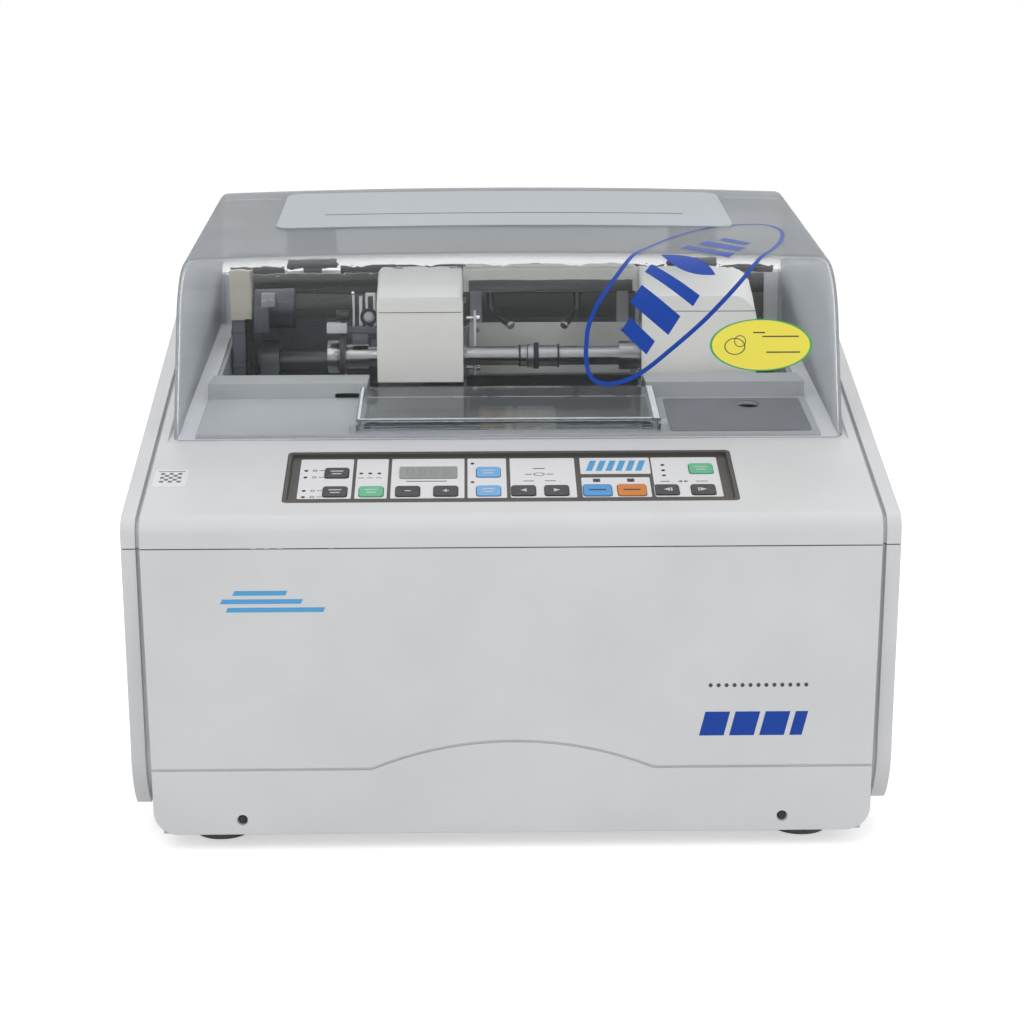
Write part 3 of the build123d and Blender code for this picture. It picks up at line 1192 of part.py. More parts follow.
with BuildPart() as lid_hinge_leaves:
    for middle in (-LEAF_X, LEAF_X):
        with BuildSketch(Plane.YZ.offset(middle - LEAF_WIDTH / 2)):
            with Locations((LID_BACK, HINGE_LOW)):
                Rectangle(LEAF_THICK, LEAF_HEIGHT, align=(Align.MIN, Align.MIN))
            with Locations((LID_BACK, HINGE_Z)):
                Rectangle(HINGE_Y - LID_BACK, LEAF_THICK + 1, align=(Align.MIN, Align.CENTER))
            with Locations((HINGE_Y, HINGE_Z)):
                Circle(KNUCKLE_R)
        extrude(amount=LEAF_WIDTH)
        # room for the fixed knuckle, and the pin bore
        with BuildSketch(Plane.YZ.offset(middle - KNUCKLE_FIXED / 2 - FIT)):
            with Locations((LID_BACK + LEAF_THICK, HINGE_LOW - 1)):
                Rectangle(20, LEAF_HEIGHT, align=(Align.MIN, Align.MIN))
        extrude(amount=KNUCKLE_FIXED + 2 * FIT, mode=Mode.SUBTRACT)
        with BuildSketch(Plane.YZ.offset(middle - LEAF_WIDTH)):
            with Locations((HINGE_Y, HINGE_Z)):
                Circle(PIN_R + RUN)
        extrude(amount=2 * LEAF_WIDTH, mode=Mode.SUBTRACT)
save(lid_hinge_leaves, "lid_hinge_leaves")

with BuildPart() as lid_hinge_brackets:
    for middle in (-LEAF_X, LEAF_X):
        with BuildSketch(Plane.YZ.offset(middle - KNUCKLE_FIXED / 2)):
            with BuildLine():
                web_front, web_back = COWL_Y + 2, BACK - 1
                Polyline((web_front, deck_z(web_front)), (web_front, HINGE_Z), (web_back, HINGE_Z),
                         (web_back, deck_z(web_back)), close=True)
            make_face()
            with Locations((HINGE_Y, HINGE_Z)):
                Circle(KNUCKLE_R)
        extrude(amount=KNUCKLE_FIXED)
        with BuildSketch(Plane.YZ.offset(middle - LEAF_WIDTH / 2 - 1)):
            with Locations((HINGE_Y, HINGE_Z)):
                Circle(PIN_R)
        extrude(amount=LEAF_WIDTH + 2)
save(lid_hinge_brackets, "lid_hinge_brackets")

# ---------------------------------------------------------------- rear panel and its fittings
PANEL_FIT = 0.5
INLET_X, INLET_Z = 190, 75
MODULE_W, MODULE_H = 52, 24
MODULE_FLANGE = 2
MODULE_DEPTH = 22
SOCKET_DEPTH = 18
ROCKER_X = 207
ROCKER_W, ROCKER_H = 11, 17
COOLANT_X, COOLANT_Z = -60, 120
BARB_R = 6
BARB_RIDGE = 1
BARB_LIP, BARB_FLANGE = 5, 3
VENT_X, VENT_Z = -170, 90

with BuildPart() as rear_panel:
    with BuildSketch(REAR_PLANE):
        with Locations((0, WING_BOTTOM_Z + SIDE_FLOOR + PANEL_FIT)):
            Rectangle(WIDTH - 2 * WALL - 2 * PANEL_FIT,
                      LOWER_TOP - WING_BOTTOM_Z - SIDE_FLOOR - PANEL_FIT, align=(Align.CENTER, Align.MIN))
    extrude(amount=WALL)
    with BuildSketch(REAR_PLANE):
        with Locations((INLET_X, INLET_Z)):
            Rectangle(MODULE_W + FIT, MODULE_H + FIT)
        with Locations((DRAIN_X, DRAIN_Z)):
            Circle(DRAIN_R + PIPE_WALL + FIT)
        with Locations((COOLANT_X, COOLANT_Z)):
            Circle(BARB_R + FIT)
        with Locations((VENT_X, VENT_Z)):
            with GridLocations(12, 0, 11, 1):
                SlotOverall(70, 5, rotation=90)
    extrude(amount=2 * WALL, mode=Mode.SUBTRACT)
save(rear_panel, "rear_panel")

with BuildPart() as power_inlet:
    # snap-in module: three-pin inlet beside the switch well
    with BuildSketch(REAR_PLANE):
        with Locations((INLET_X, INLET_Z)):
            RectangleRounded(MODULE_W + 6, MODULE_H + 6, 3)
    extrude(amount=-MODULE_FLANGE)
    with BuildSketch(REAR_PLANE):
        with Locations((INLET_X, INLET_Z)):
            Rectangle(MODULE_W - FIT, MODULE_H - FIT)
    extrude(amount=MODULE_DEPTH)
    with BuildSketch(REAR_PLANE.offset(-MODULE_FLANGE)):
        with Locations((INLET_X - 12, INLET_Z)):
            Rectangle(24, 17)
    extrude(amount=SOCKET_DEPTH, mode=Mode.SUBTRACT)
    with BuildSketch(REAR_PLANE.offset(SOCKET_DEPTH - MODULE_FLANGE)):
        with Locations((INLET_X - 19, INLET_Z - 2), (INLET_X - 12, INLET_Z + 2), (INLET_X - 5, INLET_Z - 2)):
            Rectangle(2, 4)
    extrude(amount=-13)
    with BuildSketch(REAR_PLANE.offset(-MODULE_FLANGE)):
        with Locations((ROCKER_X, INLET_Z)):
            Rectangle(ROCKER_W + 2 * FIT, ROCKER_H + 2)
    extrude(amount=10, mode=Mode.SUBTRACT)
save(power_inlet, "power_inlet")

with BuildPart() as power_rocker:
    with BuildSketch(Plane.YZ.offset(ROCKER_X - ROCKER_W / 2)):
        with BuildLine():
            face = BACK + MODULE_FLANGE
            half = ROCKER_H / 2
            Polyline((face - 6, INLET_Z - half + 2), (face + 1, INLET_Z - half))
            ThreePointArc((face + 1, INLET_Z - half), (face - 0.4, INLET_Z), (face + 1, INLET_Z + half))
            Polyline((face + 1, INLET_Z + half), (face - 6, INLET_Z + half - 2),
                     (face - 6, INLET_Z - half + 2))
        make_face()
    extrude(amount=ROCKER_W)
save(power_rocker, "power_rocker")


def barb_section(x, z, bore, radius, inside):
    """Half section of a hose barb about its centre, with a flange on the panel and two ridges."""
    half = Plane(origin=(x, BACK, z), x_dir=(0, 1, 0), z_dir=(1, 0, 0))
    with BuildSketch(half, mode=Mode.PRIVATE) as section:
        with BuildLine():
            low, high = radius - BARB_RIDGE, radius + BARB_RIDGE
            second = (FITTING_REACH + BARB_FLANGE) / 2
            Polyline((-inside, bore), (-inside, radius), (0, radius), (0, radius + BARB_LIP),
                     (BARB_FLANGE, radius + BARB_LIP), (BARB_FLANGE, low), (BARB_FLANGE + 1, high),
                     (second, low), (second, high), (FITTING_REACH, low), (FITTING_REACH, bore), close=True)
        make_face()
    return section.sketch


with BuildPart() as coolant_fittings:
    for x, z, bore, radius, inside in ((COOLANT_X, COOLANT_Z, 3.5, BARB_R, 14),
                                       (DRAIN_X, DRAIN_Z, DRAIN_R - 3, DRAIN_R - RUN, 12)):
        revolve(barb_section(x, z, bore, radius, inside), axis=Axis((x, BACK, z), (0, 1, 0)))
save(coolant_fittings, "coolant_fittings")

SUPPLY_W, SUPPLY_D, SUPPLY_H = 100, 130, 80
with BuildPart() as electronics:
    # key board behind the panel
    with BuildSketch(DECK_PLANE.offset(board_top)):
        with Locations((0, BEZEL_UP)):
            Rectangle(BEZEL_WIDTH, BEZEL_HEIGHT)
    extrude(amount=-BOARD_THICK)
    # control board on four standoffs from the base
    with BuildSketch(Plane.XY.offset(BASE_TOP)):
        with Locations((CONTROL_X, CONTROL_Y)):
            with GridLocations(CONTROL_W - 10, CONTROL_D - 10, 2, 2):
                Circle(3)
    extrude(amount=CONTROL_STAND)
    with BuildSketch(Plane.XY.offset(BASE_TOP + CONTROL_STAND)):
        with Locations((CONTROL_X, CONTROL_Y)):
            Rectangle(CONTROL_W, CONTROL_D)
    extrude(amount=BOARD_THICK)
    with BuildSketch(Plane.XY.offset(BASE_TOP + CONTROL_STAND + BOARD_THICK)):
        with Locations((CONTROL_X - 40, CONTROL_Y + 15), (CONTROL_X + 30, CONTROL_Y + 20)):
            Rectangle(28, 22)
        with Locations((CONTROL_X, CONTROL_Y - 30)):
            Rectangle(110, 8)
    extrude(amount=12)
    # power supply case with its vents
    with BuildSketch(Plane.XY.offset(BASE_TOP)):
        with Locations((INLET_X - 8, BACK - 100)):
            Rectangle(SUPPLY_W, SUPPLY_D)
    extrude(amount=SUPPLY_H)
    with BuildSketch(Plane.XY.offset(BASE_TOP + SUPPLY_H)):
        with Locations((INLET_X - 8, BACK - 100)):
            with GridLocations(10, 0, 7, 1):
                SlotOverall(90, 4, rotation=90)
    extrude(amount=-3, mode=Mode.SUBTRACT)
save(electronics, "electronics")
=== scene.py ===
import logging
import math
from abc import ABC, abstractmethod
from dataclasses import dataclass, field
from enum import Enum
from typing import Callable, Sequence

import bmesh
import bpy
from mathutils import Matrix, Vector


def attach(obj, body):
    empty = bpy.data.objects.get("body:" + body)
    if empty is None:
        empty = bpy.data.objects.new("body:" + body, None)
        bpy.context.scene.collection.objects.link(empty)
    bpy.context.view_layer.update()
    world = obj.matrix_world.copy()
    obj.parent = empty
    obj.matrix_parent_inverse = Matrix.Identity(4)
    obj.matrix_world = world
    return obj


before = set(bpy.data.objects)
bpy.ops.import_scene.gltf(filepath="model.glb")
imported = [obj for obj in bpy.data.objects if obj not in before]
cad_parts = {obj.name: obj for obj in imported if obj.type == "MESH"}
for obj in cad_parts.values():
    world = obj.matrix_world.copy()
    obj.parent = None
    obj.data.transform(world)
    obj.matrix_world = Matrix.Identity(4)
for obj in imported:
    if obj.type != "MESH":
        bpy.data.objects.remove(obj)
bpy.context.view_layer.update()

log = logging.getLogger("lens_edger")
Pair = tuple[float, float]
Point = tuple[float, float, float]
Four = tuple[float, float, float, float]
Box = tuple[Point, Point]                         # lowest and highest corner, or start and end
Tree = bpy.types.NodeTree
Socket = bpy.types.NodeSocket

MM = 0.001
PER_METRE = 1000                                  # millimetres in a metre, for the scale of a pattern
FRONT, BACK = -250.0, 232.0                       # depths of the casing's front face and rear panel
DECK_Z, DECK_SLOPE = 247.5, math.radians(15.5)    # front edge of the key deck, and its slope
SEAT_START, SEAT_SLOPE = (0, -125, 282.17), math.radians(7.7)  # near edge of the inner deck, its slope
CHAMBER_START = (0, -109, 286.83)                 # near edge of the chamber cover, on the same slope
PROUD = 0.02                                      # keeps a film or a seat off the face under it
SECOND_RAYS = ("Is Glossy Ray", "Is Transmission Ray")  # metal and glass show the background too


def hex_linear(code: str) -> Four:
    """Turns an sRGB hex colour to linear.

    Args:
        code: the colour, such as "#c8c9ca".
    Returns:
        Red, green, blue and an alpha of 1.
    """
    levels = [int(code[place:place + 2], 16) / 255 for place in (1, 3, 5)]
    return (*(v / 12.92 if v <= 0.04045 else ((v + 0.055) / 1.055) ** 2.4 for v in levels), 1.0)


def add_node(tree: Tree, kind: str, links: dict | None = None, **settings: object) -> bpy.types.Node:
    """Adds a node with its settings and links.

    Args:
        tree: the material's or world's nodes.
        kind: Blender's name of the node type.
        links: for each input's name or place, a constant or the socket that feeds it.
        settings: the node's own properties.
    Returns:
        The new node.
    """
    node = tree.nodes.new(kind)
    for name, value in settings.items():
        setattr(node, name, value)
    for name, value in (links or {}).items():
        if isinstance(value, bpy.types.NodeSocket):
            tree.links.new(value, node.inputs[name])
        else:
            node.inputs[name].default_value = value
    return node


def seen_plainly(tree: Tree) -> Socket:
    """Builds the switch that is 1 where the camera sees a surface, also in metal or through glass.

    Args:
        tree: the material's or world's nodes.
    Returns:
        The switch's socket.
    """
    path = add_node(tree, "ShaderNodeLightPath")
    seen = path.outputs["Is Camera Ray"]
    for other in SECOND_RAYS:
        both = add_node(tree, "ShaderNodeMath", {0: seen, 1: path.outputs[other]}, operation="MAXIMUM")
        seen = both.outputs["Value"]
    return seen


# ------------------------------------------------------------------------------------ finishes
@dataclass(frozen=True)
class Finish(ABC):
    """A surface finish: the common name of its material, its colour, and nodes that vary it."""

    name: str
    colour: str

    @abstractmethod
    def surface(self, tree: Tree) -> Socket:
        """Builds the finish's nodes.

        Args:
            tree: the material's nodes.
        Returns:
            The shader's socket.
        """

    def material(self) -> bpy.types.Material:
        """Makes the Blender material once.

        Returns:
            The material, the same one each time.
        """
        made = bpy.data.materials.get(self.name)
        if made is None:
            made = bpy.data.materials.new(self.name)
            made.use_nodes = True
            made.node_tree.nodes.clear()
            made.diffuse_color = hex_linear(self.colour)
            add_node(made.node_tree, "ShaderNodeOutputMaterial", {"Surface": self.surface(made.node_tree)})
        return made

    def shade(self, tree: Tree, place: Socket, tone: float, patch_mm: float) -> Socket:
        """Varies the colour a little in soft patches.

        Args:
            tree: the material's nodes.
            place: coordinates of the surface.
            tone: how far the patches go from the plain colour, as a share of it.
            patch_mm: the size of a patch.
        Returns:
            The socket of the varied colour.
        """
        noise = add_node(tree, "ShaderNodeTexNoise", {"Vector": place, "Scale": PER_METRE / patch_mm,
                                                      "Detail": 3.0})
        plain = hex_linear(self.colour)
        ramp = add_node(tree, "ShaderNodeValToRGB", {"Fac": noise.outputs["Fac"]})
        middle, reach = 0.5, 0.16            # the noise seldom leaves this range
        for stop, side in zip(ramp.color_ramp.elements, (-1, 1)):
            stop.position = middle + side * reach
            stop.color = (*(max(0.0, v * (1 + side * tone)) for v in plain[:3]), 1.0)
        return ramp.outputs["Color"]


@dataclass(frozen=True)
class MouldedPlastic(Finish):
    """Moulded plastic or film: a fine eroded texture spreads its highlights, and its edges are soft.

    The real texture is 0.1 to 0.2 mm. It is drawn at about 1 mm, the least that shows in the render.
    """

    roughness: float = 0.42
    grain_mm: float = 0.9
    grain_depth_mm: float = 0.005
    tone: float = 0.025
    patch_mm: float = 70.0
    edge_mm: float = 0.7
    gloss: float = 0.5
    rough_spread: float = 0.06

    def surface(self, tree: Tree) -> Socket:
        """Builds the grain, the soft edges and the patches of tone.

        Args:
            tree: the material's nodes.
        Returns:
            The shader's socket.
        """
        place = add_node(tree, "ShaderNodeTexCoord").outputs["Object"]
        grain = add_node(tree, "ShaderNodeTexNoise",
                         {"Vector": place, "Scale": PER_METRE / self.grain_mm, "Detail": 2.0})
        soft = add_node(tree, "ShaderNodeBevel", {"Radius": self.edge_mm * MM}, samples=4)
        bump = add_node(tree, "ShaderNodeBump", {"Height": grain.outputs["Fac"], "Strength": 0.6,
                                                 "Distance": self.grain_depth_mm * MM,
                                                 "Normal": soft.outputs["Normal"]})
        rough = add_node(tree, "ShaderNodeMapRange", {"Value": grain.outputs["Fac"],
                                                      "To Min": self.roughness - self.rough_spread,
                                                      "To Max": self.roughness + self.rough_spread})
        skin = add_node(tree, "ShaderNodeBsdfPrincipled",
                        {"Base Color": self.shade(tree, place, self.tone, self.patch_mm),
                         "Roughness": rough.outputs["Result"], "Specular IOR Level": self.gloss,
                         "Normal": bump.outputs["Normal"]})
        return skin.outputs["BSDF"]


@dataclass(frozen=True)
class ClearSheet(Finish):
    """Polycarbonate or acrylic sheet: clear seen square on, and milky where it is seen along.

    The milkiness is the dust and fine scratches on the sheet, drawn as an even veil in soft smears.
    """

    haze: float = 0.012                  # share of the light that the dust catches, seen square on
    grazing: float = 0.84                # and seen along the sheet
    dust: str = "#b6babe"
    glow: float = 0.62                   # share of the dust's light that comes through from behind
    roughness: float = 0.03
    patch_mm: float = 60.0
    ior: float = 1.2                     # less than the sheet's 1.58, matched to how little the pane mirrors
    smear: Pair = (0.6, 1.4)             # how far the smears vary the roughness and the haze
    grazing_smear: Pair = (0.92, 1.06)
    slant: Pair = (0.35, 0.8)            # where the veil starts and is full: 0 is square on, and 1 along

    def surface(self, tree: Tree) -> Socket:
        """Builds the clear sheet and the veil of dust over it.

        Args:
            tree: the material's nodes.
        Returns:
            The shader's socket.
        """
        place = add_node(tree, "ShaderNodeTexCoord").outputs["Object"]
        smear = add_node(tree, "ShaderNodeTexNoise", {"Vector": place, "Scale": PER_METRE / self.patch_mm,
                                                      "Detail": 4.0})
        rough, square_on, along = (
            add_node(tree, "ShaderNodeMapRange", {"Value": smear.outputs["Fac"], "To Min": middle * low,
                                                  "To Max": middle * high}).outputs["Result"]
            for middle, (low, high) in ((self.roughness, self.smear), (self.haze, self.smear),
                                        (self.grazing, self.grazing_smear)))
        slant = add_node(tree, "ShaderNodeLayerWeight", {"Blend": 0.5})
        veil = add_node(tree, "ShaderNodeMapRange",
                        {"Value": slant.outputs["Facing"], "From Min": self.slant[0],
                         "From Max": self.slant[1], "To Min": square_on, "To Max": along},
                        interpolation_type="SMOOTHSTEP")
        clear = add_node(tree, "ShaderNodeBsdfPrincipled",
                         {"Base Color": hex_linear(self.colour), "Transmission Weight": 1.0, "IOR": self.ior,
                          "Roughness": rough})
        front = add_node(tree, "ShaderNodeBsdfDiffuse", {"Color": hex_linear(self.dust), "Roughness": 0.3})
        behind = add_node(tree, "ShaderNodeBsdfTranslucent", {"Color": hex_linear(self.dust)})
        dust = add_node(tree, "ShaderNodeMixShader", {0: self.glow, 1: front.outputs["BSDF"],
                                                      2: behind.outputs["BSDF"]})
        hazed = add_node(tree, "ShaderNodeMixShader", {0: veil.outputs["Result"], 1: clear.outputs["BSDF"],
                                                       2: dust.outputs["Shader"]})
        through = add_node(tree, "ShaderNodeBsdfTransparent", {"Color": hex_linear(self.colour)})
        path = add_node(tree, "ShaderNodeLightPath")
        lit = add_node(tree, "ShaderNodeMixShader", {0: path.outputs["Is Shadow Ray"],
                                                     1: hazed.outputs["Shader"], 2: through.outputs["BSDF"]})
        return lit.outputs["Shader"]


@dataclass(frozen=True)
class Metal(Finish):
    """Bare metal: its colour is in its reflections, and turning, grinding or casting sets their spread.

    Real tool marks lie 0.05 to 0.2 mm apart. They are drawn at 0.5 mm and more, so that they show.
    """

    roughness: float = 0.28
    mark_mm: float = 0.5
    mark_depth_mm: float = 0.004
    along: Point = (0.05, 1.0, 1.0)      # marks are stretched along an axis whose factor is small
    tone: float = 0.06
    patch_mm: float = 30.0
    rough_spread: Pair = (0.75, 1.3)     # shares of the roughness, between and on the marks

    def surface(self, tree: Tree) -> Socket:
        """Builds the stretched tool marks.

        Args:
            tree: the material's nodes.
        Returns:
            The shader's socket.
        """
        place = add_node(tree, "ShaderNodeTexCoord").outputs["Object"]
        turned = add_node(tree, "ShaderNodeMapping", {"Vector": place, "Scale": self.along})
        marks = add_node(tree, "ShaderNodeTexNoise", {"Vector": turned.outputs["Vector"],
                                                      "Scale": PER_METRE / self.mark_mm, "Detail": 2.0})
        bump = add_node(tree, "ShaderNodeBump", {"Height": marks.outputs["Fac"], "Strength": 0.7,
                                                 "Distance": self.mark_depth_mm * MM})
        rough = add_node(tree, "ShaderNodeMapRange", {"Value": marks.outputs["Fac"],
                                                      "To Min": self.roughness * self.rough_spread[0],
                                                      "To Max": self.roughness * self.rough_spread[1]})
        skin = add_node(tree, "ShaderNodeBsdfPrincipled",
                        {"Base Color": self.shade(tree, place, self.tone, self.patch_mm), "Metallic": 1.0,
                         "Roughness": rough.outputs["Result"], "Normal": bump.outputs["Normal"]})
        return skin.outputs["BSDF"]


@dataclass(frozen=True)
class PaintedMetal(Finish):
    """Enamel or powder coat on metal: a slight orange peel that ripples its reflections."""

    roughness: float = 0.35
    peel_mm: float = 1.6
    peel_depth_mm: float = 0.006
    tone: float = 0.03
    patch_mm: float = 40.0

    def surface(self, tree: Tree) -> Socket:
        """Builds the orange peel under a thin clear coat.

        Args:
            tree: the material's nodes.
        Returns:
            The shader's socket.
        """
        place = add_node(tree, "ShaderNodeTexCoord").outputs["Object"]
        peel = add_node(tree, "ShaderNodeTexVoronoi", {"Vector": place, "Scale": PER_METRE / self.peel_mm},
                        feature="SMOOTH_F1")
        bump = add_node(tree, "ShaderNodeBump", {"Height": peel.outputs["Distance"], "Strength": 0.5,
                                                 "Distance": self.peel_depth_mm * MM})
        skin = add_node(tree, "ShaderNodeBsdfPrincipled",
                        {"Base Color": self.shade(tree, place, self.tone, self.patch_mm),
                         "Roughness": self.roughness, "Coat Weight": 0.2, "Coat Roughness": 0.2,
                         "Normal": bump.outputs["Normal"]})
        return skin.outputs["BSDF"]


@dataclass(frozen=True)
class Rubber(Finish):
    """Vulcanised rubber: dull, with a dusty bloom that comes to its surface."""

    bloom: float = 0.35
    bloom_mm: float = 6.0
    fine_mm: float = 0.8                 # coarser than the real skin, so that it shows
    patch_mm: float = 8.0

    def surface(self, tree: Tree) -> Socket:
        """Builds the bloom and the fine skin.

        Args:
            tree: the material's nodes.
        Returns:
            The shader's socket.
        """
        place = add_node(tree, "ShaderNodeTexCoord").outputs["Object"]
        bloom = add_node(tree, "ShaderNodeTexNoise", {"Vector": place, "Scale": PER_METRE / self.bloom_mm,
                                                      "Detail": 5.0})
        fine = add_node(tree, "ShaderNodeTexNoise", {"Vector": place, "Scale": PER_METRE / self.fine_mm,
                                                     "Detail": 1.0})
        bump = add_node(tree, "ShaderNodeBump", {"Height": fine.outputs["Fac"], "Distance": 0.03 * MM})
        rough = add_node(tree, "ShaderNodeMapRange", {"Value": bloom.outputs["Fac"], "To Min": 0.6,
                                                      "To Max": 0.85})
        skin = add_node(tree, "ShaderNodeBsdfPrincipled",
                        {"Base Color": self.shade(tree, place, self.bloom, self.patch_mm),
                         "Roughness": rough.outputs["Result"], "Specular IOR Level": 0.3,
                         "Normal": bump.outputs["Normal"]})
        return skin.outputs["BSDF"]


@dataclass(frozen=True)
class Abrasive(Finish):
    """Diamond grit in a metal bond: bright specks in a dull binder, rough enough to tear the light up.

    Real grit is 0.1 to 0.2 mm, and is drawn at about 1 mm so that it shows.
    """

    grit_mm: float = 0.9
    grit_colour: str = "#d9cfa8"
    speck: Pair = (0.12, 0.3)            # where a speck is full and where it ends, as shares of a cell
    tone: float = 0.2
    patch_mm: float = 12.0

    def surface(self, tree: Tree) -> Socket:
        """Builds the specks and the binder between them.

        Args:
            tree: the material's nodes.
        Returns:
            The shader's socket.
        """
        place = add_node(tree, "ShaderNodeTexCoord").outputs["Object"]
        cells = add_node(tree, "ShaderNodeTexVoronoi", {"Vector": place, "Scale": PER_METRE / self.grit_mm})
        speck = add_node(tree, "ShaderNodeMapRange",
                         {"Value": cells.outputs["Distance"], "From Min": self.speck[0],
                          "From Max": self.speck[1], "To Min": 1.0, "To Max": 0.0})
        binder, grit, mixed = 6, 7, 2        # places of a Mix node's colour sockets
        colour = add_node(tree, "ShaderNodeMix", {0: speck.outputs["Result"],
                                                  binder: self.shade(tree, place, self.tone, self.patch_mm),
                                                  grit: hex_linear(self.grit_colour)}, data_type="RGBA")
        bump = add_node(tree, "ShaderNodeBump", {"Height": speck.outputs["Result"], "Distance": 0.12 * MM})
        skin = add_node(tree, "ShaderNodeBsdfPrincipled",
                        {"Base Color": colour.outputs[mixed], "Metallic": 0.35, "Roughness": 0.62,
                         "Normal": bump.outputs["Normal"]})
        return skin.outputs["BSDF"]


@dataclass(frozen=True)
class Board(Finish):
    """Glass-fibre circuit board: copper tracks show as paler ribs under green lacquer.

    A track is 0.3 to 0.5 mm wide, so bundles of them are drawn instead.
    """

    track_mm: float = 3.0
    lacquer: str = "#1f6b43"
    track: str = "#3a8f63"

    def surface(self, tree: Tree) -> Socket:
        """Builds the rows of tracks.

        Args:
            tree: the material's nodes.
        Returns:
            The shader's socket.
        """
        place = add_node(tree, "ShaderNodeTexCoord").outputs["Object"]
        tracks = add_node(tree, "ShaderNodeTexBrick",
                          {"Vector": place, "Scale": PER_METRE / self.track_mm, "Mortar Size": 0.06,
                           "Color1": hex_linear(self.colour), "Color2": hex_linear(self.lacquer),
                           "Mortar": hex_linear(self.track)})
        bump = add_node(tree, "ShaderNodeBump", {"Height": tracks.outputs["Fac"], "Distance": 0.05 * MM})
        skin = add_node(tree, "ShaderNodeBsdfPrincipled",
                        {"Base Color": tracks.outputs["Color"], "Roughness": 0.3,
                         "Normal": bump.outputs["Normal"]})
        return skin.outputs["BSDF"]


@dataclass(frozen=True)
class PaperSweep(Finish):
    """Matt paper under the object: it keeps the shadow, and is plain white to the camera elsewhere."""

    lift: float = 0.5
    tone: float = 0.01
    patch_mm: float = 300.0

    def surface(self, tree: Tree) -> Socket:
        """Builds the paper and the light that lifts it to white where it is seen.

        Args:
            tree: the material's nodes.
        Returns:
            The shader's socket.
        """
        place = add_node(tree, "ShaderNodeTexCoord").outputs["Object"]
        paper = add_node(tree, "ShaderNodeBsdfDiffuse",
                         {"Color": self.shade(tree, place, self.tone, self.patch_mm)})
        glow = add_node(tree, "ShaderNodeEmission", {"Strength": self.lift})
        both = add_node(tree, "ShaderNodeAddShader", {0: paper.outputs["BSDF"], 1: glow.outputs["Emission"]})
        mixed = add_node(tree, "ShaderNodeMixShader", {0: seen_plainly(tree), 1: paper.outputs["BSDF"],
                                                       2: both.outputs["Shader"]})
        return mixed.outputs["Shader"]


# Housings and mouldings: large faces look soft and even, and the eye takes the edges for moulded ones.
CASING_ABS = MouldedPlastic("abs_light_grey_moulded", "#cfd0d2")
DECK_ABS = MouldedPlastic("abs_mid_grey_moulded", "#a4a7a9", roughness=0.5, grain_mm=1.2,
                          grain_depth_mm=0.006)
TUB_POLYPROPYLENE = MouldedPlastic("polypropylene_dark_grey", "#4b4e51", roughness=0.5)
COVER_ABS = MouldedPlastic("abs_off_white_moulded", "#e3e2dd", roughness=0.46, grain_depth_mm=0.003)
BEAM_ABS = MouldedPlastic("abs_cream_moulded", "#c6c5bd", roughness=0.45)
VALVE_ABS = MouldedPlastic("abs_beige_moulded", "#b9b4a6", roughness=0.5)
BEZEL_ABS = MouldedPlastic("abs_warm_black_moulded", "#4a4743", roughness=0.5)
NYLON_BLACK = MouldedPlastic("nylon_black_moulded", "#222325", roughness=0.45, edge_mm=0.4)
PVC_GREY = MouldedPlastic("pvc_pipe_grey", "#8c8f92", roughness=0.4)
# The mat's dark slate also paints the shade over the right of the inner deck.
MAT_POLYURETHANE = MouldedPlastic("polyurethane_mat_slate_with_painted_shade", "#6d6f75", roughness=0.6, tone=0.08,
                                  patch_mm=30.0)

# The key panel: smooth printed film, satin silicone keys, small glossy lenses and a mirror-like display.
FILM_PALE = MouldedPlastic("polyester_film_pale_printed", "#dcdcde", roughness=0.34, edge_mm=0.1, tone=0.01)
KEY_DARK = MouldedPlastic("silicone_key_charcoal", "#3a3a3c", roughness=0.48, edge_mm=0.5)
KEY_GREEN = MouldedPlastic("silicone_key_green", "#5fb48c", roughness=0.45, edge_mm=0.5)
KEY_LIGHT_BLUE = MouldedPlastic("silicone_key_light_blue", "#6fa9dc", roughness=0.45, edge_mm=0.5)
KEY_BLUE = MouldedPlastic("silicone_key_blue", "#4a93cf", roughness=0.45, edge_mm=0.5)
KEY_ORANGE = MouldedPlastic("silicone_key_orange", "#cc7a2b", roughness=0.45, edge_mm=0.5)
LAMP_LENS = MouldedPlastic("acrylic_lamp_lens_red_brown", "#4d3b38", roughness=0.2, edge_mm=0.2)
DISPLAY_GLASS = MouldedPlastic("liquid_crystal_window_grey", "#8c908e", roughness=0.12, grain_depth_mm=0.0,
                               edge_mm=0.2, tone=0.03, patch_mm=20.0)
DISPLAY_SEGMENT = MouldedPlastic("liquid_crystal_segment_unlit", "#7c807e", roughness=0.2, edge_mm=0.05)
BOARD_GREEN = Board("circuit_board_green", "#17553a")

# Inks and stuck-on films: thin, crisp at the edge and a little uneven in tone, as screen print is.
PRINT_WHITE = MouldedPlastic("screen_ink_white", "#c4c4c2", roughness=0.5, edge_mm=0.05, tone=0.01)
PRINT_DARK = MouldedPlastic("screen_ink_dark", "#3b3c40", roughness=0.5, edge_mm=0.05, tone=0.02)
# Print on the deck label, and painted shade where it draws the seam across each head.
PRINT_SHADOW = MouldedPlastic("grey_print_and_painted_shade", "#6a6e73", roughness=0.5, edge_mm=0.05,
                              tone=0.05)
PRINT_LIGHT_BLUE = MouldedPlastic("screen_ink_light_blue", "#4a9bcf", roughness=0.4, edge_mm=0.05,
                                  tone=0.03)
PRINT_BLUE = MouldedPlastic("screen_ink_blue", "#0b3f9c", roughness=0.4, edge_mm=0.05, tone=0.03, gloss=0.25)
VINYL_YELLOW = MouldedPlastic("vinyl_film_yellow", "#ecdf50", roughness=0.38, edge_mm=0.05, tone=0.02)
VINYL_GREEN = MouldedPlastic("vinyl_film_green", "#3fa35a", roughness=0.38, edge_mm=0.05, tone=0.02)

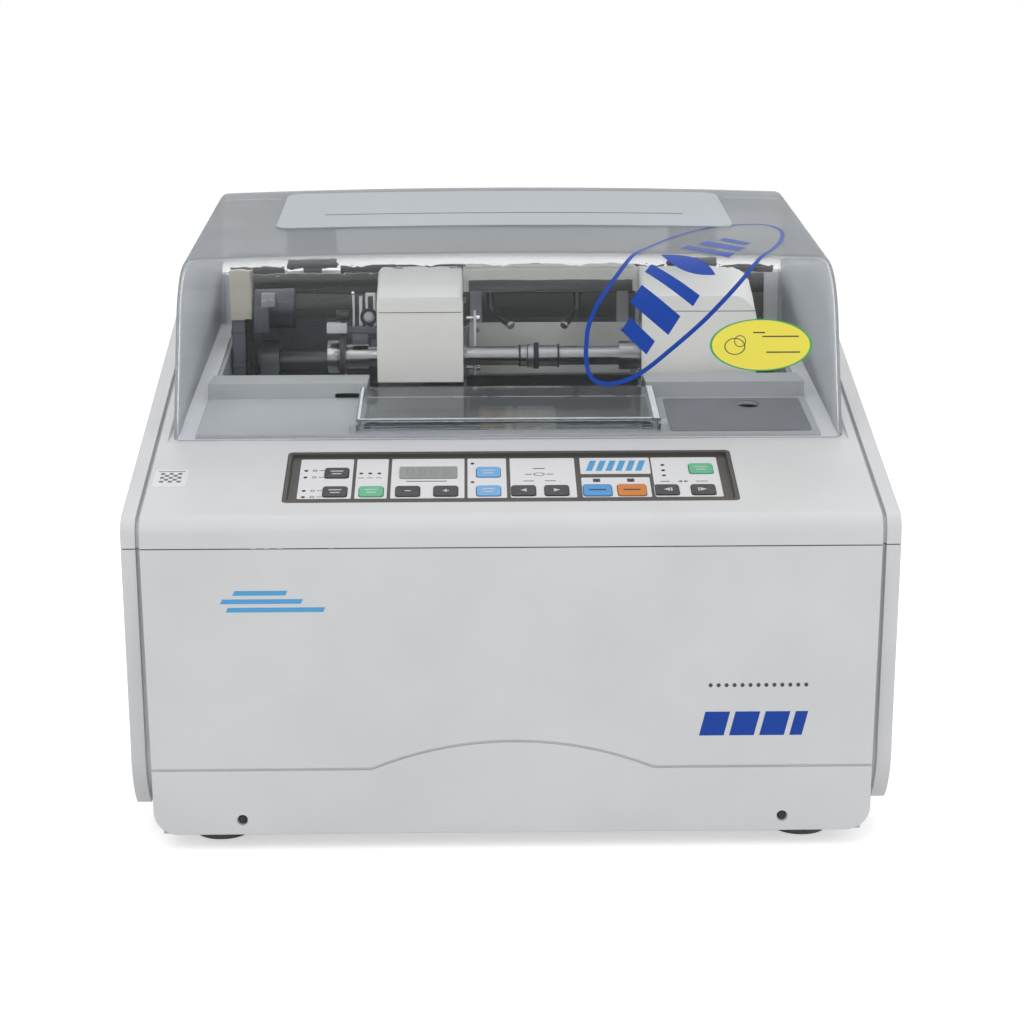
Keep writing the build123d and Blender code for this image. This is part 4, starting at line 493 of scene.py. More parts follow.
# Clear sheets: the formed lid, flat cut plates, and a frosted band that hides what is behind it.
LID_SHEET = ClearSheet("polycarbonate_clear_formed", "#f0f1f2")
PLATE_SHEET = ClearSheet("acrylic_clear_cut", "#e9edef", haze=0.03, grazing=0.16, dust="#c6cacd",
                         roughness=0.04)
FROST_SHEET = ClearSheet("polycarbonate_frosted_band", "#e6e9ec", haze=0.3, grazing=0.96, dust="#cdd1d5",
                         glow=0.25, roughness=0.4, patch_mm=90.0)
# Painted highlight: a pale opaque strip that stands for the light caught on the cut edges of clear plates.
ACRYLIC_PAINTED_HIGHLIGHT = MouldedPlastic("acrylic_cut_edge_painted_highlight", "#d9dde0", roughness=0.32, edge_mm=0.1, tone=0.08,
                              patch_mm=12.0)

# Bare metals: turned ones show streaks round the part, plated ones are even, blackened ones are dark and
# dull, and castings are grainy.
STEEL_TURNED = Metal("steel_turned_bright", "#a2a3a4", roughness=0.22, mark_mm=0.7, along=(1.0, 0.04, 0.04))
STEEL_BLACKENED = Metal("steel_black_oxide", "#55575a", roughness=0.42, mark_mm=1.2, mark_depth_mm=0.0006)
STEEL_NICKEL = Metal("steel_nickel_plated_bright", "#d8dadc", roughness=0.12, mark_mm=2.0,
                     along=(1.0, 1.0, 1.0))
STEEL_GROUND = Metal("steel_ground", "#9fa2a6", roughness=0.32)
STEEL_PLATED = Metal("steel_zinc_plated", "#a9abae", roughness=0.36, mark_mm=2.0, along=(1.0, 1.0, 1.0))
ALUMINIUM_CAST = Metal("aluminium_cast", "#a3a5a8", roughness=0.5, mark_mm=1.4, mark_depth_mm=0.03,
                       along=(1.0, 1.0, 1.0))
ALUMINIUM_TURNED = Metal("aluminium_turned", "#b9bbbe", roughness=0.3, mark_mm=0.8, along=(1.0, 0.05, 0.05))

# Painted metals: satin, with softly rippled highlights. The dark sheets in the bay, uneven in tone, also
# paint the shade inside the lid.
SHEET_STEEL_COATED = PaintedMetal("steel_sheet_powder_coated", "#b4b6b8", roughness=0.45)
MOTOR_ENAMEL = PaintedMetal("motor_enamel_dark_grey", "#34383d", roughness=0.38)
MOTOR_BLUE_BLACK = PaintedMetal("motor_enamel_blue_black", "#2b313b", roughness=0.35)
CAST_ENAMEL = PaintedMetal("cast_iron_enamel_dark_grey", "#4f545a", roughness=0.45)
# Painted light: the web cover's grey is paler than the part's own, to lift it out of the bay's shade.
WEB_PAINTED_LIGHT_ENAMEL = PaintedMetal("cast_aluminium_enamel_warm_grey_painted_light", "#d2d2cd", roughness=0.42, tone=0.05)
SLEEVE_ENAMEL = PaintedMetal("steel_tube_enamel_blue_grey", "#565c66")
# Painted shade: the dark strip over the beam's lower part stands for the shade under the beam.
BEAM_SHADE_ENAMEL = PaintedMetal("steel_painted_shade_charcoal", "#3f4042", roughness=0.45)
# Painted shade: dark sheets on the bay's rear wall and cowl; the black one is a band of painted shadow.
SLATE_SHADE_SHEET = PaintedMetal("steel_sheet_slate_with_painted_shade", "#474c54", roughness=0.55, tone=0.3, patch_mm=90.0)
SHADE_SHEET = PaintedMetal("steel_sheet_black_painted_shadow", "#2b2c29", roughness=0.55, tone=0.15, patch_mm=120.0)
OLIVE_SHADE_SHEET = PaintedMetal("steel_sheet_olive_grey_with_painted_shade", "#5f615c", roughness=0.55, tone=0.08,
                           patch_mm=120.0)
BROWN_GREY_SHADE_SHEET = PaintedMetal("steel_sheet_brown_grey_with_painted_shade", "#4b4c46", roughness=0.55, tone=0.1,
                                patch_mm=120.0)

# Rubbers, the wheels' bonded grit, and the paper that the machine stands on.
RUBBER_BLACK = Rubber("rubber_black", "#1b1b1c")
RUBBER_LIP = Rubber("rubber_dust_lip_olive_grey", "#4c4d49", bloom=0.15)
RUBBER_GREY = Rubber("rubber_foot_grey", "#6a6b6d", bloom=0.15)
RUBBER_PAD = Rubber("rubber_lens_pad", "#242427", bloom=0.2)
RUBBER_BELT = Rubber("rubber_toothed_belt", "#151516", bloom=0.15)
GRIT_ROUGH = Abrasive("diamond_grit_coarse_bronze_bond", "#6d5d4b", grit_mm=1.4)
GRIT_FINE = Abrasive("diamond_grit_fine_nickel_bond", "#86837c", grit_mm=0.9, grit_colour="#d6d3c6")
PAPER = PaperSweep("paper_white_matt", "#f2f2f2")


# ------------------------------------------------------------------------------------ places
def basis(origin: Sequence[float], x_dir: Sequence[float], z_dir: Sequence[float]) -> Matrix:
    """Makes the matrix of a local frame.

    Args:
        origin: its origin, in millimetres.
        x_dir: the direction of its x axis.
        z_dir: the direction of its z axis.
    Returns:
        The matrix that takes local millimetres to the object's.
    """
    z = Vector(z_dir).normalized()
    x = Vector(x_dir).normalized()
    y = z.cross(x)
    return Matrix.Translation(Vector(origin)) @ Matrix((x, y, z)).transposed().to_4x4()


def at(x: float, y: float, z: float = 0.0) -> Matrix:
    """Returns the matrix of a move."""
    return Matrix.Translation((x, y, z))


def sloped(origin: Sequence[float], slope: float) -> Matrix:
    """Returns the frame of a face that rises to the back by this angle, with y up along it."""
    return basis(origin, (1, 0, 0), (0, -math.sin(slope), math.cos(slope)))


def facing_front(x: float, y: float, z: float) -> Matrix:
    """Returns the frame of an upright face that looks to the front."""
    return basis((x, y, z), (1, 0, 0), (0, -1, 0))


DECK = sloped((0, FRONT, DECK_Z), DECK_SLOPE)
SEAT = sloped(SEAT_START, SEAT_SLOPE)
CHAMBER = sloped(CHAMBER_START, SEAT_SLOPE)
COVER = facing_front(0, FRONT, 0)
REAR = basis((0, BACK, 0), (-1, 0, 0), (0, 1, 0))


# ------------------------------------------------------------------------------------ mesh making
class Shape:
    """A mesh in the making, in millimetres, shaped with bmesh operators."""

    def __init__(self) -> None:
        """Starts empty."""
        self.bm = bmesh.new()

    def join(self, part: bmesh.types.BMesh, place: Matrix) -> "Shape":
        """Adds a finished part at its place.

        Args:
            part: the part, which is used up.
            place: where it goes.
        Returns:
            This shape.
        """
        bmesh.ops.recalc_face_normals(part, faces=part.faces[:])
        bmesh.ops.transform(part, matrix=place, verts=part.verts[:])
        carrier = bpy.data.meshes.new("carrier")
        part.to_mesh(carrier)
        self.bm.from_mesh(carrier)
        bpy.data.meshes.remove(carrier)
        part.free()
        return self

    def _grow(self, part: bmesh.types.BMesh, thick: float, place: Matrix, edge: float) -> "Shape":
        """Gives a flat part its thickness along its local z, softens its sharp edges and adds it.

        Args:
            part: the flat part, which is used up.
            thick: its thickness.
            place: where it goes.
            edge: the width of the bevel on edges sharper than 30 degrees.
        Returns:
            This shape.
        """
        grown = bmesh.ops.extrude_face_region(part, geom=part.faces[:])["geom"]
        top = [item for item in grown if isinstance(item, bmesh.types.BMVert)]
        bmesh.ops.translate(part, vec=(0, 0, thick), verts=top)
        bmesh.ops.recalc_face_normals(part, faces=part.faces[:])
        if edge:
            sharp = [side for side in part.edges
                     if len(side.link_faces) == 2 and side.calc_face_angle() > math.radians(30)]
            bmesh.ops.bevel(part, geom=sharp, offset=edge, segments=2, affect="EDGES", profile=0.5,
                            material=-1, clamp_overlap=True)
        return self.join(part, place)

    def plate(self, wide: float, high: float, thick: float, place: Matrix, corner: float = 0.0,
              edge: float = 0.0) -> "Shape":
        """Adds a plate that grows along its local z, with round corners and soft edges.

        Args:
            wide: its size along local x.
            high: its size along local y.
            thick: its thickness.
            place: where its middle is.
            corner: the radius of its corners.
            edge: the width of the bevel round its faces.
        Returns:
            This shape.
        """
        part = bmesh.new()
        bmesh.ops.create_grid(part, x_segments=1, y_segments=1, size=0.5)
        bmesh.ops.scale(part, vec=(wide, high, 1), verts=part.verts[:])
        if corner:
            bmesh.ops.bevel(part, geom=part.verts[:], offset=corner, affect="VERTICES", segments=6,
                            profile=0.5, material=-1)
        return self._grow(part, thick, place, edge)

    def outline(self, points: Sequence[Pair], thick: float, place: Matrix, edge: float = 0.0) -> "Shape":
        """Adds a flat form of any outline that grows along its local z.

        Args:
            points: the outline's corners in local x and y, in order.
            thick: its thickness.
            place: where its origin is.
            edge: the width of the bevel round its faces.
        Returns:
            This shape.
        """
        part = bmesh.new()
        part.faces.new([part.verts.new((x, y, 0)) for x, y in points])
        return self._grow(part, thick, place, edge)

    def slanted(self, left: float, low: float, size: Pair, lean: float, thick: float,
                place: Matrix) -> "Shape":
        """Adds a flat bar whose top is shifted to the right.

        Args:
            left: local x of its lower left corner.
            low: local y of that corner.
            size: its width and height.
            lean: how far its top is shifted.
            thick: its thickness.
            place: where its origin is.
        Returns:
            This shape.
        """
        right, top = left + size[0], low + size[1]
        points = [(left, low), (right, low), (right + lean, top), (left + lean, top)]
        return self.outline(points, thick, place)

    def ring(self, outer: float, bore: float, thick: float, place: Matrix, steps: int = 48,
             stretch: float = 1.0, edge: float = 0.0) -> "Shape":
        """Adds a flat ring, or a disc where the bore is 0, that grows along its local z.

        Args:
            outer: its outer radius along local x.
            bore: its inner radius along local x.
            thick: its thickness.
            place: where its middle is.
            steps: how many sides it has.
            stretch: its size along local y as a share of that along x.
            edge: the width of the bevel round its faces.
        Returns:
            This shape.
        """
        part = bmesh.new()
        bmesh.ops.create_circle(part, cap_ends=not bore, segments=steps, radius=outer)
        if bore:
            rim = part.edges[:]
            inner = bmesh.ops.create_circle(part, cap_ends=False, segments=steps, radius=bore)["verts"]
            loop = list({e for v in inner for e in v.link_edges})
            bmesh.ops.bridge_loops(part, edges=rim + loop)
        bmesh.ops.scale(part, vec=(1, stretch, 1), verts=part.verts[:])
        return self._grow(part, thick, place, edge)

    def turned(self, profile: Sequence[Pair], place: Matrix, steps: int = 40) -> "Shape":
        """Adds a turned form about its local z axis.

        Args:
            profile: pairs of radius and height along the axis, from one end to the other.
            place: where its axis starts.
            steps: how many sides it has.
        Returns:
            This shape.
        """
        part = bmesh.new()
        spots = [part.verts.new((radius, 0, height)) for radius, height in profile]
        line = [part.edges.new(pair) for pair in zip(spots, spots[1:])]
        bmesh.ops.spin(part, geom=spots + line, cent=(0, 0, 0), axis=(0, 0, 1), angle=math.tau, steps=steps,
                       use_merge=True)
        bmesh.ops.remove_doubles(part, verts=part.verts[:], dist=0.001)
        bmesh.ops.recalc_face_normals(part, faces=part.faces[:])
        return self.join(part, place)

    def screw(self, radius: float, place: Matrix, slot: float = 0.0) -> "Shape":
        """Adds a pan-head screw with a cross recess, seated at its place and facing local z.

        Args:
            radius: the radius of its head.
            place: the middle of its seat.
            slot: how much the head is turned, in radians.
        Returns:
            This shape.
        """
        head = radius * 0.55                 # height of the head; the rest is in shares of it and the radius
        self.turned([(0, 0), (radius, 0), (radius, head * 0.45), (radius * 0.8, head * 0.85),
                     (radius * 0.62, head), (radius * 0.2, head), (0, head * 0.5)], place, 20)
        turn = place @ Matrix.Rotation(slot, 4, "Z")
        for quarter in range(4):
            arm = turn @ Matrix.Rotation(quarter * math.pi / 2, 4, "Z") @ at(radius * 0.38, 0, head * 0.86)
            self.plate(radius * 0.42, radius * 0.1, head * 0.15, arm)
        return self

    def block(self, low: Point, high: Point, edge: float = 0.3, corner: float = 0.0) -> "Shape":
        """Adds a block between two corners, upright, with soft edges.

        Args:
            low: its corner nearest the origin of the axes.
            high: its other corner.
            edge: the width of the bevel round its edges.
            corner: the radius of its upright edges.
        Returns:
            This shape.
        """
        wide, deep, tall = (b - a for a, b in zip(low, high))
        place = at((low[0] + high[0]) / 2, (low[1] + high[1]) / 2, low[2])
        return self.plate(wide, deep, tall, place, corner, edge)

    def rod(self, start: Point, end: Point, radius: float, edge: float = 0.3, steps: int = 32) -> "Shape":
        """Adds a round rod between two points.

        Args:
            start: the middle of one end.
            end: the middle of the other.
            radius: its radius.
            edge: the chamfer at each end.
            steps: how many sides it has.
        Returns:
            This shape.
        """
        line = Vector(end) - Vector(start)
        side = (0, 0, 1) if abs(line.normalized().z) < 0.9 else (0, 1, 0)
        run = line.length
        profile = [(0, 0), (radius - edge, 0), (radius, edge), (radius, run - edge), (radius - edge, run),
                   (0, run)]
        return self.turned(profile, basis(start, line.cross(Vector(side)), line), steps)

    def sliced(self, step: float, axis: int = 0) -> "Shape":
        """Cuts the mesh across at even steps, so that it can follow a curve.

        Args:
            step: the distance between two cuts.
            axis: the axis that the cuts are square to.
        Returns:
            This shape.
        """
        normal = Vector((0, 0, 0))
        normal[axis] = 1
        spots = [vert.co[axis] for vert in self.bm.verts]
        for count in range(math.ceil(min(spots) / step), math.ceil(max(spots) / step)):
            bmesh.ops.bisect_plane(self.bm, geom=self.bm.verts[:] + self.bm.edges[:] + self.bm.faces[:],
                                   plane_co=normal * (count * step), plane_no=normal)
        return self

    def bent(self, change: Callable[[Vector], Vector]) -> "Shape":
        """Moves every vertex by a rule.

        Args:
            change: gives the new place of a vertex from the old one.
        Returns:
            This shape.
        """
        for vert in self.bm.verts:
            vert.co = change(vert.co)
        bmesh.ops.recalc_face_normals(self.bm, faces=self.bm.faces[:])
        return self

    def loose(self, name: str, finish: Finish) -> bpy.types.Object:
        """Turns the shape to an object in the scene, in metres.

        Args:
            name: the object's name.
            finish: its finish.
        Returns:
            The new object.
        """
        bmesh.ops.scale(self.bm, vec=(MM, MM, MM), verts=self.bm.verts[:])
        mesh = bpy.data.meshes.new(name)
        self.bm.to_mesh(mesh)
        self.bm.free()
        made = bpy.data.objects.new(name, mesh)
        bpy.context.scene.collection.objects.link(made)
        mesh.materials.append(finish.material())
        return made

    def piece(self, name: str, finish: Finish, body: str, slot: str) -> bpy.types.Object:
        """Turns the shape to an object that moves with a body.

        Args:
            name: the object's name.
            finish: its finish.
            body: the body that it rides on.
            slot: the record's material slot, not used.
        Returns:
            The new object.
        """
        made = self.loose(name, finish)
        made.data.shade_smooth()
        made.data.set_sharp_from_angle(angle=math.radians(32))
        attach(made, body)
        log.info("piece %s: %d faces, rides on %s", name, len(made.data.polygons), body)
        return made


def flat_film(name: str, rims: Sequence[Sequence[Pair]], thick: float, place: Matrix, finish: Finish,
              body: str, slot: str) -> bpy.types.Object:
    """Makes a thin film with holes from closed outlines, the holes being the outlines inside others.

    Args:
        name: the object's name.
        rims: closed outlines in local x and y, in millimetres.
        thick: the film's thickness.
        place: where its origin is.
        finish: its finish.
        body: the body that it rides on.
        slot: the record's material slot.
    Returns:
        The new object.
    """
    curve = bpy.data.curves.new(name, "CURVE")
    curve.dimensions = "2D"
    curve.fill_mode = "BOTH"
    curve.extrude = thick / 2
    for rim in rims:
        spline = curve.splines.new("POLY")
        spline.points.add(len(rim) - 1)
        for spot, (x, y) in zip(spline.points, rim):
            spot.co = (x, y, 0, 1)
        spline.use_cyclic_u = True
    flat = bpy.data.objects.new(name + "_flat", curve)
    bpy.context.scene.collection.objects.link(flat)
    bpy.context.view_layer.update()
    mesh = bpy.data.meshes.new_from_object(flat.evaluated_get(bpy.context.evaluated_depsgraph_get()))
    bpy.data.objects.remove(flat)
    bpy.data.curves.remove(curve)
    shape = Shape()
    shape.bm.from_mesh(mesh)
    bpy.data.meshes.remove(mesh)
    bmesh.ops.remove_doubles(shape.bm, verts=shape.bm.verts[:], dist=0.0005)
    bmesh.ops.transform(shape.bm, matrix=place @ at(0, 0, thick / 2), verts=shape.bm.verts[:])
    return shape.piece(name, finish, body, slot)


def box_rim(x: float, y: float, wide: float, high: float, corner: float = 1.0) -> list[Pair]:
    """Draws a rectangle with round corners about its middle.

    Args:
        x: its middle across.
        y: its middle up.
        wide: its width.
        high: its height.
        corner: the radius of its corners.
    Returns:
        The outline's points, in order.
    """
    rim = []
    for turn, (sx, sy) in enumerate(((1, 1), (-1, 1), (-1, -1), (1, -1))):
        for step in range(5):
            angle = (turn + step / 4) * math.pi / 2
            rim.append((x + sx * (wide / 2 - corner) + corner * math.cos(angle),
                        y + sy * (high / 2 - corner) + corner * math.sin(angle)))
    return rim


def dot_rim(x: float, y: float, radius: float, sides: int = 16) -> list[Pair]:
    """Returns the outline of a small circle."""
    angles = [count * math.tau / sides for count in range(sides)]
    return [(x + radius * math.cos(angle), y + radius * math.sin(angle)) for angle in angles]


def dress(finish: Finish, *nodes: str) -> None:
    """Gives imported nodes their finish.

    Args:
        finish: the finish.
        nodes: names of nodes in the frame.
    """
    for name in nodes:
        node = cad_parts[name]
        node.data.materials.clear()
        node.data.materials.append(finish.material())
        log.info("node %s: %s", name, finish.name)


# ------------------------------------------------------------------------------------ casing
@dataclass
class Casing:
    """The two moulded halves, their base, feet and rear panel, and what is fixed to them outside."""

    cover_screw: Point = (198.0, 24.0, 3.4)       # x, height, depth behind the cover's face
    cover_head: float = 3.2                       # radius of its head
    rear_head: float = 3.4
    rear_screws: tuple[Pair, ...] = (
        (-262, 215), (-130, 215), (0, 215), (130, 215), (262, 215), (-262, 130), (262, 130), (-240, 45),
        (-130, 45), (0, 45), (130, 45), (240, 45))
    print_thick: float = 0.12
    stripe_start: Pair = (-210.0, 181.0)
    stripes: tuple[Pair, ...] = ((4.0, 70.0), (0.0, 58.0), (9.0, 38.0))  # shift and length, going up
    stripe_high: float = 3.4
    stripe_pitch: float = 6.2
    stripe_lean: float = 1.6                      # how far its top is shifted to the right
    slab_start: Pair = (136.0, 86.0)
    slabs: tuple[float, ...] = (18.0, 18.0, 18.0, 9.0)  # widths, from left to right
    slab_high: float = 18.0
    slab_pitch: float = 22.0
    slab_lean: float = 4.5
    dot_start: Pair = (144.0, 124.0)
    dots: int = 13
    dot_pitch: float = 5.8
    dot_radius: float = 1.5
    label: Four = (-251.0, 70.0, 25.0, 28.0)      # middle on the deck, and size
    check_start: Pair = (-6.4, -5.6)
    checks: int = 5                               # in a row and in a column
    check_size: float = 3.0
    check_pitch: float = 3.2
    label_line: Point = (11.0, 20.0, 1.0)         # up from the label's middle, and size
    plate: Four = (-60.0, 175.0, 70.0, 40.0)      # middle on the rear panel, size
    rivet_at: float = 31.0                        # from the plate's middle
    rivet: tuple[Pair, ...] = ((1.6, 0), (1.5, 0.5), (0.9, 0.9), (0, 1.0))
    feet_x: Pair = (-217, 217)
    feet_y: Pair = (-205, 187)
    washer: Point = (6.0, 2.6, 0.6)               # outer radius, bore, thickness
    washer_under: float = 0.75                    # how far below z 0 it starts

    def build(self) -> None:
        """Dresses the casing and adds its small pieces."""
        dress(CASING_ABS, "upper_casing", "lower_casing")
        dress(SHEET_STEEL_COATED, "base_plate", "rear_panel")
        dress(RUBBER_GREY, "rubber_feet")
        self._screws()
        self._front_print()
        self._bare_plate()
        self._foot_screws()
        self._deck_label()

    def _screws(self) -> None:
        """Sinks two screws in the front cover and sets the rear panel's on its face."""
        # every head is turned by another angle, as a hand leaves them
        front = Shape()
        x, height, depth = self.cover_screw
        for side in (-1, 1):
            front.screw(self.cover_head, COVER @ at(side * x, height, -depth), slot=0.4 * side)
        front.piece("cover_screws", NYLON_BLACK, "casing", "fitting_plastic")
        rear = Shape()
        for count, (across, height) in enumerate(self.rear_screws):
            rear.screw(self.rear_head, REAR @ at(across, height, PROUD), slot=count * 0.7)
        rear.piece("rear_panel_screws", STEEL_PLATED, "casing", "hinge_steel")

    def _front_print(self) -> None:
        """Prints plain stripes, slanted blocks and a row of dots on the front."""
        face = COVER @ at(0, 0, PROUD)
        x, z = self.stripe_start
        stripes = Shape()
        for row, (start, length) in enumerate(self.stripes):
            stripes.slanted(x + start, z + row * self.stripe_pitch, (length, self.stripe_high),
                            self.stripe_lean, self.print_thick, face)
        stripes.piece("front_stripes", PRINT_LIGHT_BLUE, "casing", "key_light_blue")
        x, z = self.slab_start
        slabs = Shape()
        for place, wide in enumerate(self.slabs):
            slabs.slanted(x + place * self.slab_pitch, z, (wide, self.slab_high), self.slab_lean,
                          self.print_thick, face)
        slabs.piece("front_blocks", PRINT_BLUE, "casing", "key_blue")
        x, z = self.dot_start
        dots = Shape()
        for place in range(self.dots):
            spot = face @ at(x + place * self.dot_pitch, z)
            dots.ring(self.dot_radius, 0, self.print_thick, spot, steps=16)
        dots.piece("front_dots", PRINT_DARK, "casing", "key_dark")

    def _bare_plate(self) -> None:
        """Rivets a bare aluminium plate to the rear panel."""
        x, z, wide, high = self.plate
        thick = 0.5
        plate = Shape().plate(wide, high, thick, REAR @ at(x, z, PROUD), corner=2, edge=0.15)
        plate.piece("bare_plate", ALUMINIUM_TURNED, "casing", "cast_aluminium")
        rivets = Shape()
        for side in (-1, 1):
            rivets.turned(self.rivet, REAR @ at(x + side * self.rivet_at, z, thick), 16)
        rivets.piece("plate_rivets", STEEL_PLATED, "casing", "hinge_steel")

    def _foot_screws(self) -> None:
        """Adds the washer in the middle of each foot, seen from below."""
        under = basis((0, 0, 0), (1, 0, 0), (0, 0, -1))
        outer, bore, thick = self.washer
        washers = Shape()
        for x in self.feet_x:
            for y in self.feet_y:
                washers.ring(outer, bore, thick, under @ at(x, -y, -self.washer_under), steps=28)
        washers.piece("foot_washers", STEEL_PLATED, "casing", "hinge_steel")

    def _deck_label(self) -> None:
        """Sticks a small label with a plain check pattern on the deck beside the panel."""
        x, y, wide, high = self.label
        place = DECK @ at(x, y, PROUD)
        label = Shape().plate(wide, high, 0.1, place, corner=1.0)
        label.piece("deck_label", FILM_PALE, "casing", "casing_plastic")
        left, low = self.check_start
        checks, ink, face = Shape(), 0.05, place @ at(0, 0, self.print_thick)
        for row in range(self.checks):
            for column in range(self.checks):
                if (row + column) % 2 == 0:
                    spot = face @ at(left + column * self.check_pitch, low + row * self.check_pitch)
                    checks.plate(self.check_size, self.check_size, ink, spot)
        up, wide, high = self.label_line
        checks.plate(wide, high, ink, face @ at(0, up))
        checks.piece("deck_label_checks", PRINT_SHADOW, "casing", "key_dark")


# ------------------------------------------------------------------------------------ key panel
class Mark(Enum):
    """What is printed on a key."""

    LINES = "two short lines"
    MINUS = "minus"
    PLUS = "plus"
    LEFT = "arrow to the left"
    RIGHT = "arrow to the right"
    LONG = "one long line"
    IN = "arrow to the left, off a bar"
    OUT = "arrow to the right, off a bar"


# The bars of each mark: middle across and up, width and height. The arrows point left at -1, right at 1.
MARK_BARS: dict[Mark, tuple[Four, ...]] = {
    Mark.LINES: ((0, 2.2, 9.5, 1.5), (0, -2.2, 7.0, 1.5)),
    Mark.LONG: ((0, 0, 12.5, 1.8),),
    Mark.MINUS: ((0, 0, 4.6, 1.2),),
    Mark.PLUS: ((0, 0, 4.6, 1.2), (0, -1.5, 1.2, 1.7), (0, 1.5, 1.2, 1.7)),
    Mark.IN: ((3.4, 0, 1.1, 5.2),),
    Mark.OUT: ((-3.4, 0, 1.1, 5.2),)}
MARK_ARROWS: dict[Mark, int] = {Mark.LEFT: -1, Mark.RIGHT: 1, Mark.IN: -1, Mark.OUT: 1}
ARROW_BACK, ARROW_TIP, ARROW_HALF = 2.2, 2.4, 2.6    # from the key's middle to its back, tip and corners


@dataclass(frozen=True)
class Key:
    """A key of the panel: its place on the deck's slope, its size, finish and mark."""

    across: float
    up: float
    finish: Finish
    mark: Mark
    ink: Finish = PRINT_WHITE
    wide: float = 17.6
    high: float = 16.2


